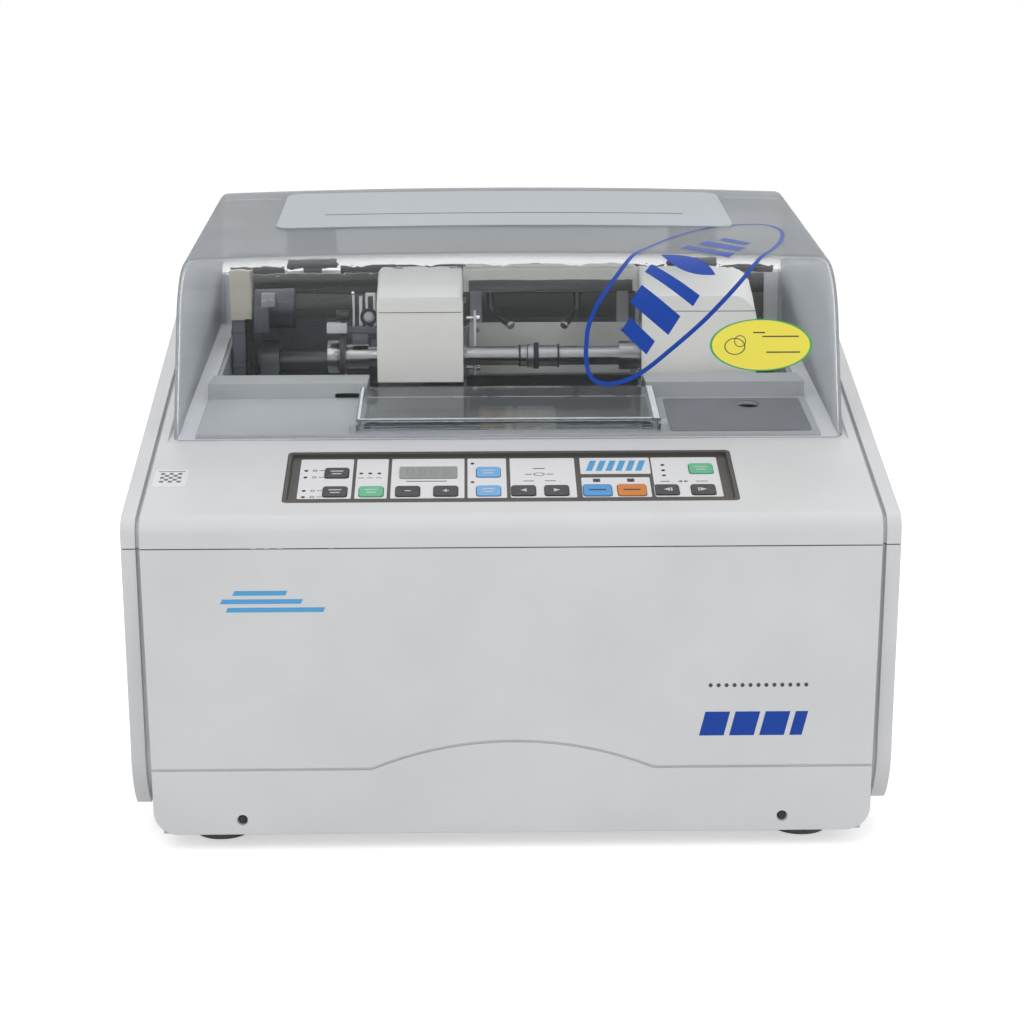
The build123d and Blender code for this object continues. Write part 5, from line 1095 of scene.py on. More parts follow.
@dataclass
class KeyPanel:
    """The recessed console with its printed fields, keys, lamps and display."""

    floor: float = -3.0                           # key floor below the deck's surface
    key_top: float = -2.0
    film: float = 0.12
    ink: float = 0.08
    lamp_hole: float = 1.6
    display: Four = (-60.8, 82.2, 42.8, 19.2)
    display_top: float = 0.82                     # over the key floor
    digits: int = 4
    digit_start: float = -13.5                    # from the display's middle to the first digit's
    digit_pitch: float = 9.0
    digit_half: Pair = (2.4, 2.8)                 # from its middle to an upright segment's middle
    digit_rows: Point = (-5.6, 0, 5.6)
    upright: Point = (0.7, 4.2, 0.05)             # width, height and thickness of a segment
    level: Point = (3.6, 0.7, 0.05)
    fields: tuple[Four, ...] = (                  # left, right, low, top
        (-156.5, -117, 41, 106), (-114.5, -90.9, 41, 106), (-88.3, -34, 41, 106), (-31.7, -2.8, 41, 106),
        (0, 48.5, 41, 106), (52.6, 103.4, 41, 73), (52.6, 105, 79, 106), (106.2, 155.8, 41, 106))
    keys: dict[str, Key] = field(default_factory=lambda: {
        "key_field_upper": Key(-129, 82.2, KEY_DARK, Mark.LINES),
        "key_field_lower": Key(-129, 51.5, KEY_DARK, Mark.LINES),
        "key_green_left": Key(-102.4, 51.5, KEY_GREEN, Mark.LINES),
        "key_minus": Key(-75.6, 51.5, KEY_DARK, Mark.MINUS),
        "key_plus": Key(-47.7, 51.5, KEY_DARK, Mark.PLUS),
        "key_blue_upper": Key(-16.2, 82.2, KEY_LIGHT_BLUE, Mark.LINES),
        "key_blue_lower": Key(-16.2, 51.5, KEY_LIGHT_BLUE, Mark.LINES),
        "key_arrow_left": Key(9.5, 51.5, KEY_DARK, Mark.LEFT),
        "key_arrow_right": Key(33.9, 51.5, KEY_DARK, Mark.RIGHT),
        "key_blue_wide": Key(63.9, 51.5, KEY_BLUE, Mark.LONG, PRINT_DARK, 20.8, 18),
        "key_orange_wide": Key(89.2, 51.5, KEY_ORANGE, Mark.LONG, PRINT_DARK, 20.8, 18),
        "key_arrow_in": Key(114.9, 51.5, KEY_DARK, Mark.IN),
        "key_arrow_out": Key(141.8, 51.5, KEY_DARK, Mark.OUT),
        "key_green_right": Key(142.8, 86.2, KEY_GREEN, Mark.LINES)})
    lamps: tuple[Pair, ...] = (
        (-152, 87), (-152, 76), (-152, 54), (-152, 44), (-110.8, 82), (-104.2, 82), (-97.4, 82), (-28, 97.5),
        (-28, 66.6), (63.9, 67), (89.2, 67), (114.5, 93.3), (114.5, 84.4), (114.5, 75.9))
    lamps_with_signs: int = 4                     # the first ones, down the panel's left end
    lamp_ring: Point = (6.5, 1.7, 1.1)            # right of the lamp, outer and inner radius
    lamp_line: Point = (11.5, 3.6, 0.7)           # right of the lamp, and size
    lens_sign: Pair = (21.6, 79.0)                # a lens between two shafts, over the arrow keys
    lens_ring: Point = (4.2, 3.4, 0.62)           # outer and inner radius, height as a share of width
    lines: tuple[Four, ...] = (                   # middle across and up, size
        (-110.8, 74.5, 4.4, 0.8), (-104.2, 74.5, 4.4, 0.8), (-97.4, 74.5, 4.4, 0.8), (-62, 68.5, 30, 1.1),
        (13.6, 79, 5, 0.9), (13.6, 68, 8, 0.9), (29.6, 79, 5, 0.9), (29.6, 68, 8, 0.9), (21.6, 88.5, 9, 1.1),
        (114.5, 66, 7, 0.9), (141.8, 66, 9, 0.9))
    arrow_sign: Pair = (128.0, 66.0)              # two small arrows that point apart
    arrow_size: Point = (0.8, 4.2, 1.6)           # start and end from the middle, half its height
    squares: tuple[tuple[str, float], ...] = (("panel_square_63", 63.9), ("panel_square_89", 89.2))
    square: Pair = (68.2, 5.4)                    # up the deck, and size
    bars: int = 6
    bar_start: Pair = (56.5, 84.0)
    bar_size: Pair = (4.6, 17.0)
    bar_pitch: float = 7.4
    bar_lean: float = 4.0

    def build(self) -> None:
        """Dresses the panel and adds its print."""
        dress(BEZEL_ABS, "console_bezel")
        dress(LAMP_LENS, "indicator_lamps")
        dress(DISPLAY_GLASS, "display_window")
        dress(BOARD_GREEN, "electronics")
        for name, key in self.keys.items():
            dress(key.finish, name)
            self._mark(name, key)
        self._fields()
        self._field_print()
        self._display_digits()

    def _fields(self) -> None:
        """Lays the pale printed fields on the key floor, cut out round the keys, lamps and display."""
        x, y, wide, high = self.display
        key_room, display_room = 1.0, 0.4  # what a hole is larger than the key or display in it
        holes = [(k.across, k.up, k.wide + key_room, k.high + key_room) for k in self.keys.values()]
        holes.append((x, y, wide + display_room, high + display_room))
        lamp_room = 2  # a lamp nearer than this to a field's edge cuts nothing out
        for count, (left, right, low, top) in enumerate(self.fields):
            rims = [box_rim((left + right) / 2, (low + top) / 2, right - left, top - low, corner=1.2)]
            rims += [box_rim(*hole, corner=2.6) for hole in holes
                     if left < hole[0] < right and low < hole[1] < top]
            rims += [dot_rim(lx, ly, self.lamp_hole) for lx, ly in self.lamps
                     if left + lamp_room < lx < right - lamp_room and low + lamp_room < ly < top - lamp_room]
            flat_film(f"panel_field_{count}", rims, self.film, DECK @ at(0, 0, self.floor + PROUD), FILM_PALE,
                      "casing", "casing_plastic")

    def _mark(self, name: str, key: Key) -> None:
        """Prints a key's mark on its top.

        Args:
            name: the key's node and body.
            key: what the key is like.
        """
        top = DECK @ at(key.across, key.up, self.key_top + PROUD)
        mark = Shape()
        if way := MARK_ARROWS.get(key.mark, 0):
            back, tip = -ARROW_BACK * way, ARROW_TIP * way
            mark.outline([(back, -ARROW_HALF), (tip, 0), (back, ARROW_HALF)], self.film, top)
        for across, up, wide, high in MARK_BARS.get(key.mark, ()):
            mark.plate(wide, high, self.film, top @ at(across, up))
        mark.piece(f"{name}_mark", key.ink, name, "casing_plastic")

    def _field_print(self) -> None:
        """Prints the small signs beside the lamps and over the keys."""
        top = DECK @ at(0, 0, self.floor + self.film + 2 * PROUD)
        signs = Shape()
        (ring, outer, inner), (line, wide, high) = self.lamp_ring, self.lamp_line
        for x, y in self.lamps[:self.lamps_with_signs]:
            signs.ring(outer, inner, self.ink, top @ at(x + ring, y), steps=20)
            signs.plate(wide, high, self.ink, top @ at(x + line, y))
        outer, inner, stretch = self.lens_ring
        signs.ring(outer, inner, self.ink, top @ at(*self.lens_sign), steps=24, stretch=stretch)
        for x, y, wide, high in self.lines:
            signs.plate(wide, high, self.ink, top @ at(x, y))
        (x, y), (start, end, half) = self.arrow_sign, self.arrow_size
        for side in (-1, 1):
            near, far = x + side * start, x + side * end
            signs.outline([(near, y - half), (far, y), (near, y + half)], self.ink, top)
        signs.piece("panel_signs", PRINT_DARK, "casing", "key_dark")
        up, size = self.square
        for name, x in self.squares:
            square = Shape().plate(size, size, self.ink, top @ at(x, up), corner=0.6)
            square.piece(name, PRINT_DARK, "casing", "key_dark")
        bars = Shape()
        left, low = self.bar_start
        for place in range(self.bars):
            bars.slanted(left + place * self.bar_pitch, low, self.bar_size, self.bar_lean, self.ink, top)
        bars.piece("panel_bars", PRINT_LIGHT_BLUE, "casing", "key_light_blue")

    def _display_digits(self) -> None:
        """Lays the faint unlit segments of the display's digits on its window."""
        x, y, _, _ = self.display
        top = DECK @ at(x, y, self.floor + self.display_top)
        across, up = self.digit_half
        digits = Shape()
        for place in range(self.digits):
            middle = self.digit_start + place * self.digit_pitch
            for side in (-1, 1):
                for half in (-1, 1):
                    digits.plate(*self.upright, top @ at(middle + side * across, half * up))
            for row in self.digit_rows:
                digits.plate(*self.level, top @ at(middle, row))
        digits.piece("display_segments", DISPLAY_SEGMENT, "casing", "display_grey")


# ------------------------------------------------------------------------------------ lid
@dataclass
class Lid:
    """The clear lid with its hinges, the frosted strip of its roof, a lens outline and a sticker."""

    front: Pair = (-123.0, 283.24)                # depth and height of the pane's lower edge
    lean: float = math.radians(8.5)
    back: float = 218.0
    back_top: float = 444.84                      # height of the roof's rear edge at its ends
    roof_slope: float = math.radians(5.75)
    crown: float = 4.5
    half: float = 250.86                          # of the roof's rear edge
    bend: float = 50.0
    strip: Point = (376.0, 157.0, 26.0)           # width, depth, and distance from the rear edge
    strip_rise: float = 1.2
    rib_line: Pair = (300.0, 316.0)               # length, and place up along the lid
    # the beads paint the highlight line near the roof's rear edge
    bead_line: Pair = (217.0, 404.0)              # across to a bead's middle, and up along the lid
    slice_step: float = 24.0                      # cuts that let a form follow the roof's crown
    outline_path: tuple[Pair, ...] = (
        (59.5, 72), (61.5, 87), (69.5, 105), (86.5, 131.5), (107, 170.5), (135, 222), (170, 264.5),
        (203, 280), (219, 276), (225, 246), (213, 190), (188, 135), (156.5, 97), (121, 65.5), (98, 48.5),
        (77.5, 42), (64, 46), (59.5, 58))  # across, and up along the lid from its lower edge
    outline_wide: float = 3.4
    motif_at: Pair = (139.0, 140.0)
    motif_turn: float = math.radians(57.0)
    motif_lens: Pair = (9.5, 24.0)                # half of its width and height
    motif_bars: tuple[Point, ...] = (             # distance from the lens, width, height
        (-76, 12, 26), (-52, 17, 38), (-27, 10, 46), (30, 12, 44), (54, 15, 38), (76, 11, 26))
    motif_lean: float = 5.0
    motif_step: float = 6.0
    sticker_at: Pair = (192.8, 71.0)
    sticker_half: Pair = (39.2, 19.9)
    sticker_rim: Pair = (1.8, 1.0)                # the green rim's width at its sides, and at its top
    sticker_lines: tuple[Point, ...] = ((9.5, -6, 9), (6.5, 1, 28), (-5.5, 4, 26))  # up, start, length
    sticker_rings: tuple[tuple[float, float, float, float, int, float], ...] = (
        (-20, -1, 8.0, 7.2, 36, 0.8), (-16, 3, 4.5, 3.9, 28, 1.0))  # place, radii, sides, height to width
    print_off: float = 0.25                       # how far each film or print lies off the lid
    rim_off: float = 0.3
    oval_off: float = 0.28
    lens_off: float = 0.42
    band_off: float = 0.12                        # these two lie on the strip
    rib_off: float = 0.4
    bead_off: float = 0.1
    bead: Point = (48.0, 2.0, 0.5)                # length, width and thickness
    hinges: Pair = (-170, 170)
    hinge_screws: Point = (-15, 0, 15)            # from a hinge's middle
    hinge_line: Pair = (220.0, 406.0)             # depth and height of the screws' seats
    hinge_head: float = 2.4                       # radius of a screw's head
    up_pane: Vector = field(init=False)
    up_roof: Vector = field(init=False)
    turn: float = field(init=False)
    reach: float = field(init=False)

    def __post_init__(self) -> None:
        """Works out how the pane and the roof run in depth and height, and how the bend joins them."""
        self.up_pane = Vector((math.sin(self.lean), math.cos(self.lean)))
        self.up_roof = Vector((math.cos(self.roof_slope), math.sin(self.roof_slope)))
        self.turn = self.up_pane.angle(self.up_roof)
        self.reach = self.bend * math.tan(self.turn / 2)

    def build(self) -> None:
        """Dresses the lid and adds its print, sticker, frosted strip and hinge screws."""
        dress(LID_SHEET, "lid_shell")
        dress(STEEL_BLACKENED, "lid_hinge_leaves", "lid_hinge_brackets")
        self._outline()
        self._motif()
        self._sticker()
        self._strip()
        self._hinge_screws()

    def _corner(self, rear: Vector) -> Pair:
        """Works out where the pane and the roof would meet if there were no bend.

        Args:
            rear: depth and height of the roof's rear edge.
        Returns:
            The length of the pane up to there, and that of the roof from there.
        """
        gap, pane, roof = rear - Vector(self.front), self.up_pane, self.up_roof
        area = pane.x * roof.y - pane.y * roof.x
        return (gap.x * roof.y - gap.y * roof.x) / area, (pane.x * gap.y - pane.y * gap.x) / area

    def _on_lid(self, spot: Vector, proud: float) -> Vector:
        """Lays a point on the lid.

        Args:
            spot: across, up along the lid, and off its surface.
            proud: how far off the surface a height of 0 lies.
        Returns:
            The point's place in the object.
        """
        radius = (self.half ** 2 + self.crown ** 2) / (2 * self.crown)
        rear = Vector((self.back, self.back_top + self.crown - spot.x ** 2 / (2 * radius)))
        foot, corner = Vector(self.front), self._corner(rear)[0]
        arc, left = self.bend * self.turn, spot.y - (corner - self.reach)
        if left <= 0:
            here, angle = foot + self.up_pane * spot.y, 0.0
        elif left >= arc:
            here = foot + self.up_pane * corner + self.up_roof * (left - arc + self.reach)
            angle = self.turn
        else:
            angle = left / self.bend
            inward = Vector((self.up_pane.y, -self.up_pane.x))
            middle = foot + self.up_pane * (corner - self.reach) + inward * self.bend
            here = middle + Vector((-math.cos(self.lean + angle), math.sin(self.lean + angle))) * self.bend
        slant = self.lean + angle
        here = here + Vector((-math.cos(slant), math.sin(slant))) * (proud + spot.z)
        return Vector((spot.x, here.x, here.y))

    def _lay(self, proud: float) -> Callable[[Vector], Vector]:
        """Returns the rule that lays a flat form on the lid, this far off its surface."""
        return lambda spot: self._on_lid(spot, proud)

    def _length(self) -> float:
        """Returns the way from the lower edge to the rear one over the middle of the lid."""
        pane, roof = self._corner(Vector((self.back, self.back_top + self.crown)))
        return pane + roof - self.bend * (2 * math.tan(self.turn / 2) - self.turn)

    def _outline_rim(self, shift: float) -> list[Vector]:
        """Runs a smooth closed curve through the points of the lens outline.

        Args:
            shift: how far the curve lies beside the points.
        Returns:
            The curve's points, in order.
        """
        spots = [Vector(spot) for spot in self.outline_path]
        rim, parts = [], 8
        for place in range(len(spots)):
            before, here, on, next_on = (spots[(place + step) % len(spots)] for step in (-1, 0, 1, 2))
            square = 2 * before - 5 * here + 4 * on - next_on
            cube = 3 * here - before - 3 * on + next_on
            for part in range(parts):
                share = part / parts
                spot = 0.5 * (2 * here + (on - before) * share + square * share ** 2 + cube * share ** 3)
                way = 0.5 * ((on - before) + 2 * square * share + 3 * cube * share ** 2)
                rim.append(spot + Vector((-way.y, way.x)).normalized() * shift)
        return rim

    def _outline(self) -> None:
        """Prints a blue lens outline round the bend."""
        band = bmesh.new()
        loops = []
        for side in (-0.5, 0.5):
            rim = self._outline_rim(side * self.outline_wide)
            verts = [band.verts.new((spot.x, spot.y, 0)) for spot in rim]
            loops += [band.edges.new(pair) for pair in zip(verts, verts[1:] + verts[:1])]
        bmesh.ops.bridge_loops(band, edges=loops)
        outline = Shape().join(band, Matrix()).bent(self._lay(self.print_off))
        outline.piece("lid_lens_outline", PRINT_BLUE, "lid", "key_blue")

    def _motif(self) -> None:
        """Prints a lens in section with bars on both sides of it, inside the outline."""
        turn = at(*self.motif_at) @ Matrix.Rotation(self.motif_turn, 4, "Z")
        thick, steps = 0.05, 8
        wide, high = self.motif_lens
        lens = [(side * (wide - wide * (step / steps) ** 2), side * step * high / steps)
                for side in (-1, 1) for step in range(steps, -steps - 1, -1)]
        motif = Shape().outline(lens, thick, turn)
        for shift, wide, tall in self.motif_bars:
            motif.slanted(shift - wide / 2, -tall / 2, (wide, tall), self.motif_lean, thick, turn)
        motif.sliced(self.motif_step).sliced(self.motif_step, axis=1).bent(self._lay(self.print_off))
        motif.piece("lid_lens_motif", PRINT_BLUE, "lid", "key_blue")

    def _sticker(self) -> None:
        """Sets a yellow oval with a green rim on the front panel, and a plain lens on it."""
        (x, up), (long, short), (side, top) = self.sticker_at, self.sticker_half, self.sticker_rim
        vinyl, ink, steps = 0.1, 0.05, 72
        rim = Shape().ring(long, long - side, vinyl, at(x, up), steps, stretch=short / long)
        rim.bent(self._lay(self.rim_off)).piece("sticker_rim", VINYL_GREEN, "lid", "key_green")
        stretch = (short - top) / (long - side)
        oval = Shape().ring(long - side, 0, vinyl, at(x, up), steps, stretch=stretch)
        oval.bent(self._lay(self.oval_off)).piece("sticker_oval", VINYL_YELLOW, "lid", "key_orange")
        lens = Shape()
        for across, high, outer, inner, steps, stretch in self.sticker_rings:
            lens.ring(outer, inner, ink, at(x + across, up + high), steps, stretch)
        for low, start, length in self.sticker_lines:
            lens.plate(length, 1.0, ink, at(x + start + length / 2, up + low))
        lens.bent(self._lay(self.lens_off)).piece("sticker_lens", PRINT_DARK, "lid", "key_dark")

    def _strip(self) -> None:
        """Frosts the raised strip of the roof, and adds its rib and the frosted beads beside it, which paint
        the highlight line near the roof's rear edge.
        """
        wide, deep, inset = self.strip
        rear = self._length() - inset
        band = Shape().plate(wide - 1, deep - 1, 0.25, at(0, rear - deep / 2), corner=13)
        band.sliced(self.slice_step).bent(self._lay(self.strip_rise + self.band_off))
        band.piece("lid_frosted_band", FROST_SHEET, "lid", "clear_lid")
        length, up = self.rib_line
        rib = Shape().plate(length, 1.6, 0.3, at(0, up), corner=0.7)
        rib.sliced(self.slice_step).bent(self._lay(self.strip_rise + self.rib_off))
        rib.piece("lid_band_rib", PRINT_SHADOW, "lid", "clear_lid")
        across, up = self.bead_line
        beads = Shape()
        for side in (-1, 1):
            beads.plate(*self.bead, at(side * across, up), corner=0.9)
        beads.sliced(self.slice_step).bent(self._lay(self.bead_off))
        beads.piece("lid_roof_highlight_beads", FROST_SHEET, "lid", "clear_lid")

    def _hinge_screws(self) -> None:
        """Adds the screws of the two hinges."""
        depth, height = self.hinge_line
        behind = basis((0, depth, 0), (-1, 0, 0), (0, 1, 0))
        screws = Shape()
        for middle in self.hinges:
            for side in self.hinge_screws:
                seat = behind @ at(-(middle + side), height, PROUD)
                screws.screw(self.hinge_head, seat, slot=side * 0.3)
        screws.piece("hinge_screws", STEEL_PLATED, "lid", "hinge_steel")


# ------------------------------------------------------------------------------------ bay
@dataclass
class Bay:
    """The inner deck, grinding tub, wheels and their drive, and the clear cover over the chamber."""

    # The lining and the cowl's bands are dark sheets that also paint the shade inside the lid; the black
    # middle band is painted shadow.
    lining: Box = ((-234, 207.3, 262), (234, 208.9, 334))  # on the deck's rear wall
    cowl: tuple[Pair, Pair] = ((-235, 235), (217.9, 219.4))  # across, and in depth, of the sheets above it
    cowl_bands: tuple[tuple[str, Finish, float, float], ...] = (
        ("low", BROWN_GREY_SHADE_SHEET, 330.0, 356.0), ("middle", SHADE_SHEET, 356.2, 368.8),
        ("high", OLIVE_SHADE_SHEET, 369.0, 377.4))
    lip: tuple[Pair, Pair] = ((220.3, 221.6), (377.6, 389.2))  # in depth, and in height
    lip_runs: tuple[Pair, ...] = ((-243, -195), (-145, 145), (195, 243))
    mat: Four = (125.0, 234.0, 15.0, 100.0)       # left, right, near, far
    mat_hole: Point = (192.0, 83.8, 9.6)          # across, up the deck, and radius
    mat_up: float = 2.5                           # above the plane of the seat
    valve: Pair = (-227.0, 150.0)                 # across, and depth
    sleeve_half: Pair = (8.5, 10.0)
    sleeve_heights: Pair = (252, 341.5)
    sleeve_bands: Point = (270, 300, 330)
    band: Pair = (0.7, 3.0)                       # how far a band stands out, and its height
    hose: Box = ((-221, 137.2, 253), (-221, 137.2, 343))
    hose_radius: float = 2.8
    bracket: Box = ((-216, 138, 331), (-203, 143.6, 354))
    terminals: Box = ((-209, 134, 354), (-197, 145, 366))
    terminal_screws: Pair = (-206, -200)
    terminal_head: float = 1.8                    # radius of a screw's head
    chamber_top: float = 10.32                    # of the clear cover, above its frame
    # pale strips on the cover's cut edges: painted highlight
    chamber_edges: tuple[Four, ...] = (           # middle on the cover, and size
        (-2, 0.4, 224, 1.8), (-115, 43, 2.0, 85), (114, 43, 4.6, 86))

    def build(self) -> None:
        """Dresses the bay's nodes and adds its small pieces."""
        dress(DECK_ABS, "inner_deck")
        dress(TUB_POLYPROPYLENE, "grinding_tub")
        dress(PVC_GREY, "drain_pipe")
        dress(PLATE_SHEET, "chamber_cover")
        dress(GRIT_ROUGH, "wheel_rough")
        dress(GRIT_FINE, "wheel_bevel", "wheels_fine")
        dress(STEEL_GROUND, "wheel_spindle", "size_stage")
        dress(ALUMINIUM_CAST, "spindle_housings", "motor_pulley")
        dress(CAST_ENAMEL, "pivot_posts")
        dress(MOTOR_ENAMEL, "main_motor")
        dress(RUBBER_BELT, "drive_belt")
        dress(VALVE_ABS, "coolant_valve")
        dress(MOTOR_BLUE_BLACK, "stage_motors")
        dress(STEEL_BLACKENED, "pivot_shaft")
        self._back_panels()
        self._valve_side()
        self._mat()
        self._chamber_edges()

    def _back_panels(self) -> None:
        """Lines the rear wall and the cowl above it with dark sheets that also paint the shade inside the
        lid, with a band of painted shadow across the cowl, and adds the cowl's dust lip.
        """
        Shape().block(*self.lining).piece("rear_wall_painted_shade", SLATE_SHADE_SHEET, "casing", "sheet_steel")
        (left, right), (near, far) = self.cowl
        for name, finish, low, top in self.cowl_bands:
            Shape().block((left, near, low), (right, far, top)).piece(f"cowl_painted_shade_{name}", finish, "casing",
                                                                      "sheet_steel")
        (near, far), (low, top) = self.lip
        lip = Shape()
        for left, right in self.lip_runs:
            lip.block((left, near, low), (right, far, top))
        lip.piece("cowl_dust_lip", RUBBER_LIP, "casing", "foot_rubber")

    def _valve_side(self) -> None:
        """Adds the valve's sleeve, its hose, and the bracket and terminals beside the traverse motor."""
        (x, y), (wide, deep), (low, top) = self.valve, self.sleeve_half, self.sleeve_heights
        sleeve = Shape().block((x - wide, y - deep, low), (x + wide, y + deep, top), edge=0.8, corner=2)
        out, high = self.band
        wide, deep = wide + out, deep + out
        for base in self.sleeve_bands:
            sleeve.block((x - wide, y - deep, base), (x + wide, y + deep, base + high), edge=0.3, corner=2)
        sleeve.piece("valve_sleeve", SLEEVE_ENAMEL, "casing", "sheet_steel")
        Shape().rod(*self.hose, self.hose_radius).piece("valve_hose", RUBBER_BLACK, "casing", "foot_rubber")
        bracket = Shape().block(*self.bracket, edge=0.5)
        bracket.piece("motor_bracket", CAST_ENAMEL, "casing", "cast_aluminium")
        terminals = Shape().block(*self.terminals, edge=0.5)
        terminals.piece("motor_terminals", PVC_GREY, "casing", "fitting_plastic")
        (_, near, low), (_, _, top) = self.terminals
        screws = Shape()
        for across in self.terminal_screws:
            screws.screw(self.terminal_head, facing_front(across, near, (low + top) / 2), slot=0.4)
        screws.piece("terminal_screws", STEEL_PLATED, "casing", "hinge_steel")

    def _mat(self) -> None:
        """Lays the darker mat on the right of the deck, cut out round the screw well. Its dark colour also
        paints the shade there.
        """
        left, right, near, far = self.mat
        rims = [box_rim((left + right) / 2, (near + far) / 2, right - left, far - near, corner=4),
                dot_rim(*self.mat_hole)]
        flat_film("deck_mat", rims, 0.5, SEAT @ at(0, 0, self.mat_up), MAT_POLYURETHANE, "casing",
                  "deck_plastic")

    def _chamber_edges(self) -> None:
        """Adds pale strips on the chamber cover's cut edges, a painted highlight of the light that they
        catch.
        """
        edges = Shape()
        for x, y, wide, deep in self.chamber_edges:
            edges.plate(wide, deep, 0.5, CHAMBER @ at(x, y, self.chamber_top), edge=0.15)
        edges.piece("chamber_cover_painted_highlights", ACRYLIC_PAINTED_HIGHLIGHT, "chamber_door", "clear_plate")


# ------------------------------------------------------------------------------------ carriage
@dataclass
class Carriage:
    """The pivoting carriage with its two heads, beam, splash plates and nozzles."""

    heads: tuple[Pair, ...] = ((-106.0, -35.0), (113.0, 208.0))  # left and right side of each
    face: float = 42.0                            # depth of the heads' front
    # a thin dark strip that paints the shade in the seam across each head
    seam: Pair = (359.8, 360.5)                   # heights
    seam_inset: float = 1.5                       # from a head's sides
    seam_depth: Pair = (-0.12, 0.2)               # from the heads' front
    ridge: float = 394.0
    head_screws: Point = (-89.5, -42.0, 158.7)
    head_screw_depth: float = 97.0
    head_screw: tuple[Pair, ...] = ((4.4, 0), (4.2, 1.1), (3.0, 2.2), (0, 2.7))
    # a dark strip over the beam's lower part, painted shade under the beam
    beam_shade_strip: Box = ((-30, 88.9, 372.4), (108, 90.0, 382.6))
    beam_cap: Box = ((-33, 92, 394.02), (111, 122, 396.4))
    web: Box = ((-30, 121.6, 297), (109, 123.8, 341))
    web_screw: Point = (7, 6, 2.2)                # from its sides, from its top, head's radius
    nozzle_tips: tuple[Box, ...] = (((4.2, 86.8, 344.1), (6.3, 84.7, 342.8)),
                                    ((51.3, 87.0, 344.2), (49.8, 84.7, 342.8)))
    # pale strip beside the left splash plate: painted highlight of its edge
    splash_highlight_strip: Box = ((-26.4, 74, 303), (-24.2, 80, 357))
    knob_heights: Pair = (309, 351)
    knob_runs: tuple[Four, ...] = (
        (-32.4, -26.3, 1.6, 0.3), (-24.3, -20.6, 2.8, 0.5))  # start, end, radius and chamfer
    bracket: tuple[tuple[Point, Point, float], ...] = (  # corners, and width of the bevel
        ((-147, 56, 340.6), (-106.3, 60, 346.4), 0.4), ((-127, 52, 332.6), (-114, 62, 341), 0.8))
    loop: tuple[tuple[Point, Point, float], ...] = (
        ((-127, 60, 341), (-125, 63, 373.4), 0.3), ((-121.5, 60, 341), (-118.6, 63.2, 372), 0.4),
        ((-116, 60, 341), (-113.9, 63, 372.6), 0.3), ((-109.5, 60, 341), (-107.4, 63, 372.6), 0.3),
        ((-116, 60, 371.6), (-107.4, 63, 374.8), 0.5))
    light_bar: tuple[Point, Point, float] = ((-147.7, 46, 342.4), (-131, 56, 350.8), 0.7)
    ring_at: Point = (-113.2, 60.4, 354.5)        # in the loop
    ring: Point = (7.3, 4.6, 2.4)                 # outer radius, bore, thickness
    disc: Point = (59.6, 4.4, 1.0)                # depth, radius and thickness, in the ring
    knob: tuple[tuple[Point, Point, float, float], ...] = (  # ends, radius and chamfer
        ((-140, 51, 357), (-128.8, 51, 357), 4.3, 0.7), ((-134.4, 51, 350.6), (-134.4, 51, 354), 2.0, 0.3))
    bright: Point = (-126, 61.5, 374.6)           # a bright stud on the loop
    bright_half: float = 1.9
    bright_slant: float = 1.3

    def build(self) -> None:
        """Dresses the carriage and adds its small pieces."""
        dress(STEEL_BLACKENED, "traverse_sleeve", "coolant_nozzles")
        dress(ALUMINIUM_CAST, "carriage_frame")
        dress(COVER_ABS, "left_head_cover", "right_head_cover")
        dress(BEAM_ABS, "carriage_beam")
        dress(PLATE_SHEET, "splash_plates")
        dress(MOTOR_BLUE_BLACK, "head_motors")
        self._head_lines()
        self._beam_parts()
        self._nozzle_tips()
        self._splash_edges()
        self._former_bracket()

    def _head_lines(self) -> None:
        """Paints the seam across each head as a thin dark strip of painted shade, and sets the domed screws
        on top.
        """
        (low, top), inset = self.seam, self.seam_inset
        near, far = (self.face + depth for depth in self.seam_depth)
        seams, screws = Shape(), Shape()
        for left, right in self.heads:
            seams.block((left + inset, near, low), (right - inset, far, top), edge=0.05)
        seams.piece("head_seam_painted_shade", PRINT_SHADOW, "carriage", "cover_cream")
        for x in self.head_screws:
            screws.turned(self.head_screw, at(x, self.head_screw_depth, self.ridge + PROUD), steps=24)
        screws.piece("head_screws", STEEL_PLATED, "carriage", "hinge_steel")

    def _beam_parts(self) -> None:
        """Adds a dark strip over the beam's lower part, painted shade under the beam, its cap and the cover
        over the web behind the lens.
        """
        strip = Shape().block(*self.beam_shade_strip, edge=0.2)
        strip.piece("beam_shade_strip", BEAM_SHADE_ENAMEL, "carriage", "sheet_steel")
        cap = Shape().block(*self.beam_cap, edge=0.8, corner=2)
        cap.piece("beam_cap", BEAM_ABS, "carriage", "cover_cream")
        # The web cover's pale grey is painted light in the bay's shade.
        Shape().block(*self.web, edge=0.5).piece("web_cover", WEB_PAINTED_LIGHT_ENAMEL, "carriage", "cast_aluminium")
        (left, near, low), (right, _, top) = self.web
        side, up, head = self.web_screw
        screws = Shape()
        for x in (left + side, right - side):
            for height in (low + up, top - up):
                screws.screw(head, facing_front(x, near, height), slot=x * 0.1)
        screws.piece("web_screws", STEEL_PLATED, "carriage", "hinge_steel")

    def _nozzle_tips(self) -> None:
        """Rings the tips of the two coolant nozzles with bright metal."""
        tips = Shape()
        for start, end in self.nozzle_tips:
            tips.rod(start, end, radius=3.5, edge=0.4)
        tips.piece("nozzle_tips", STEEL_NICKEL, "carriage", "ground_steel")

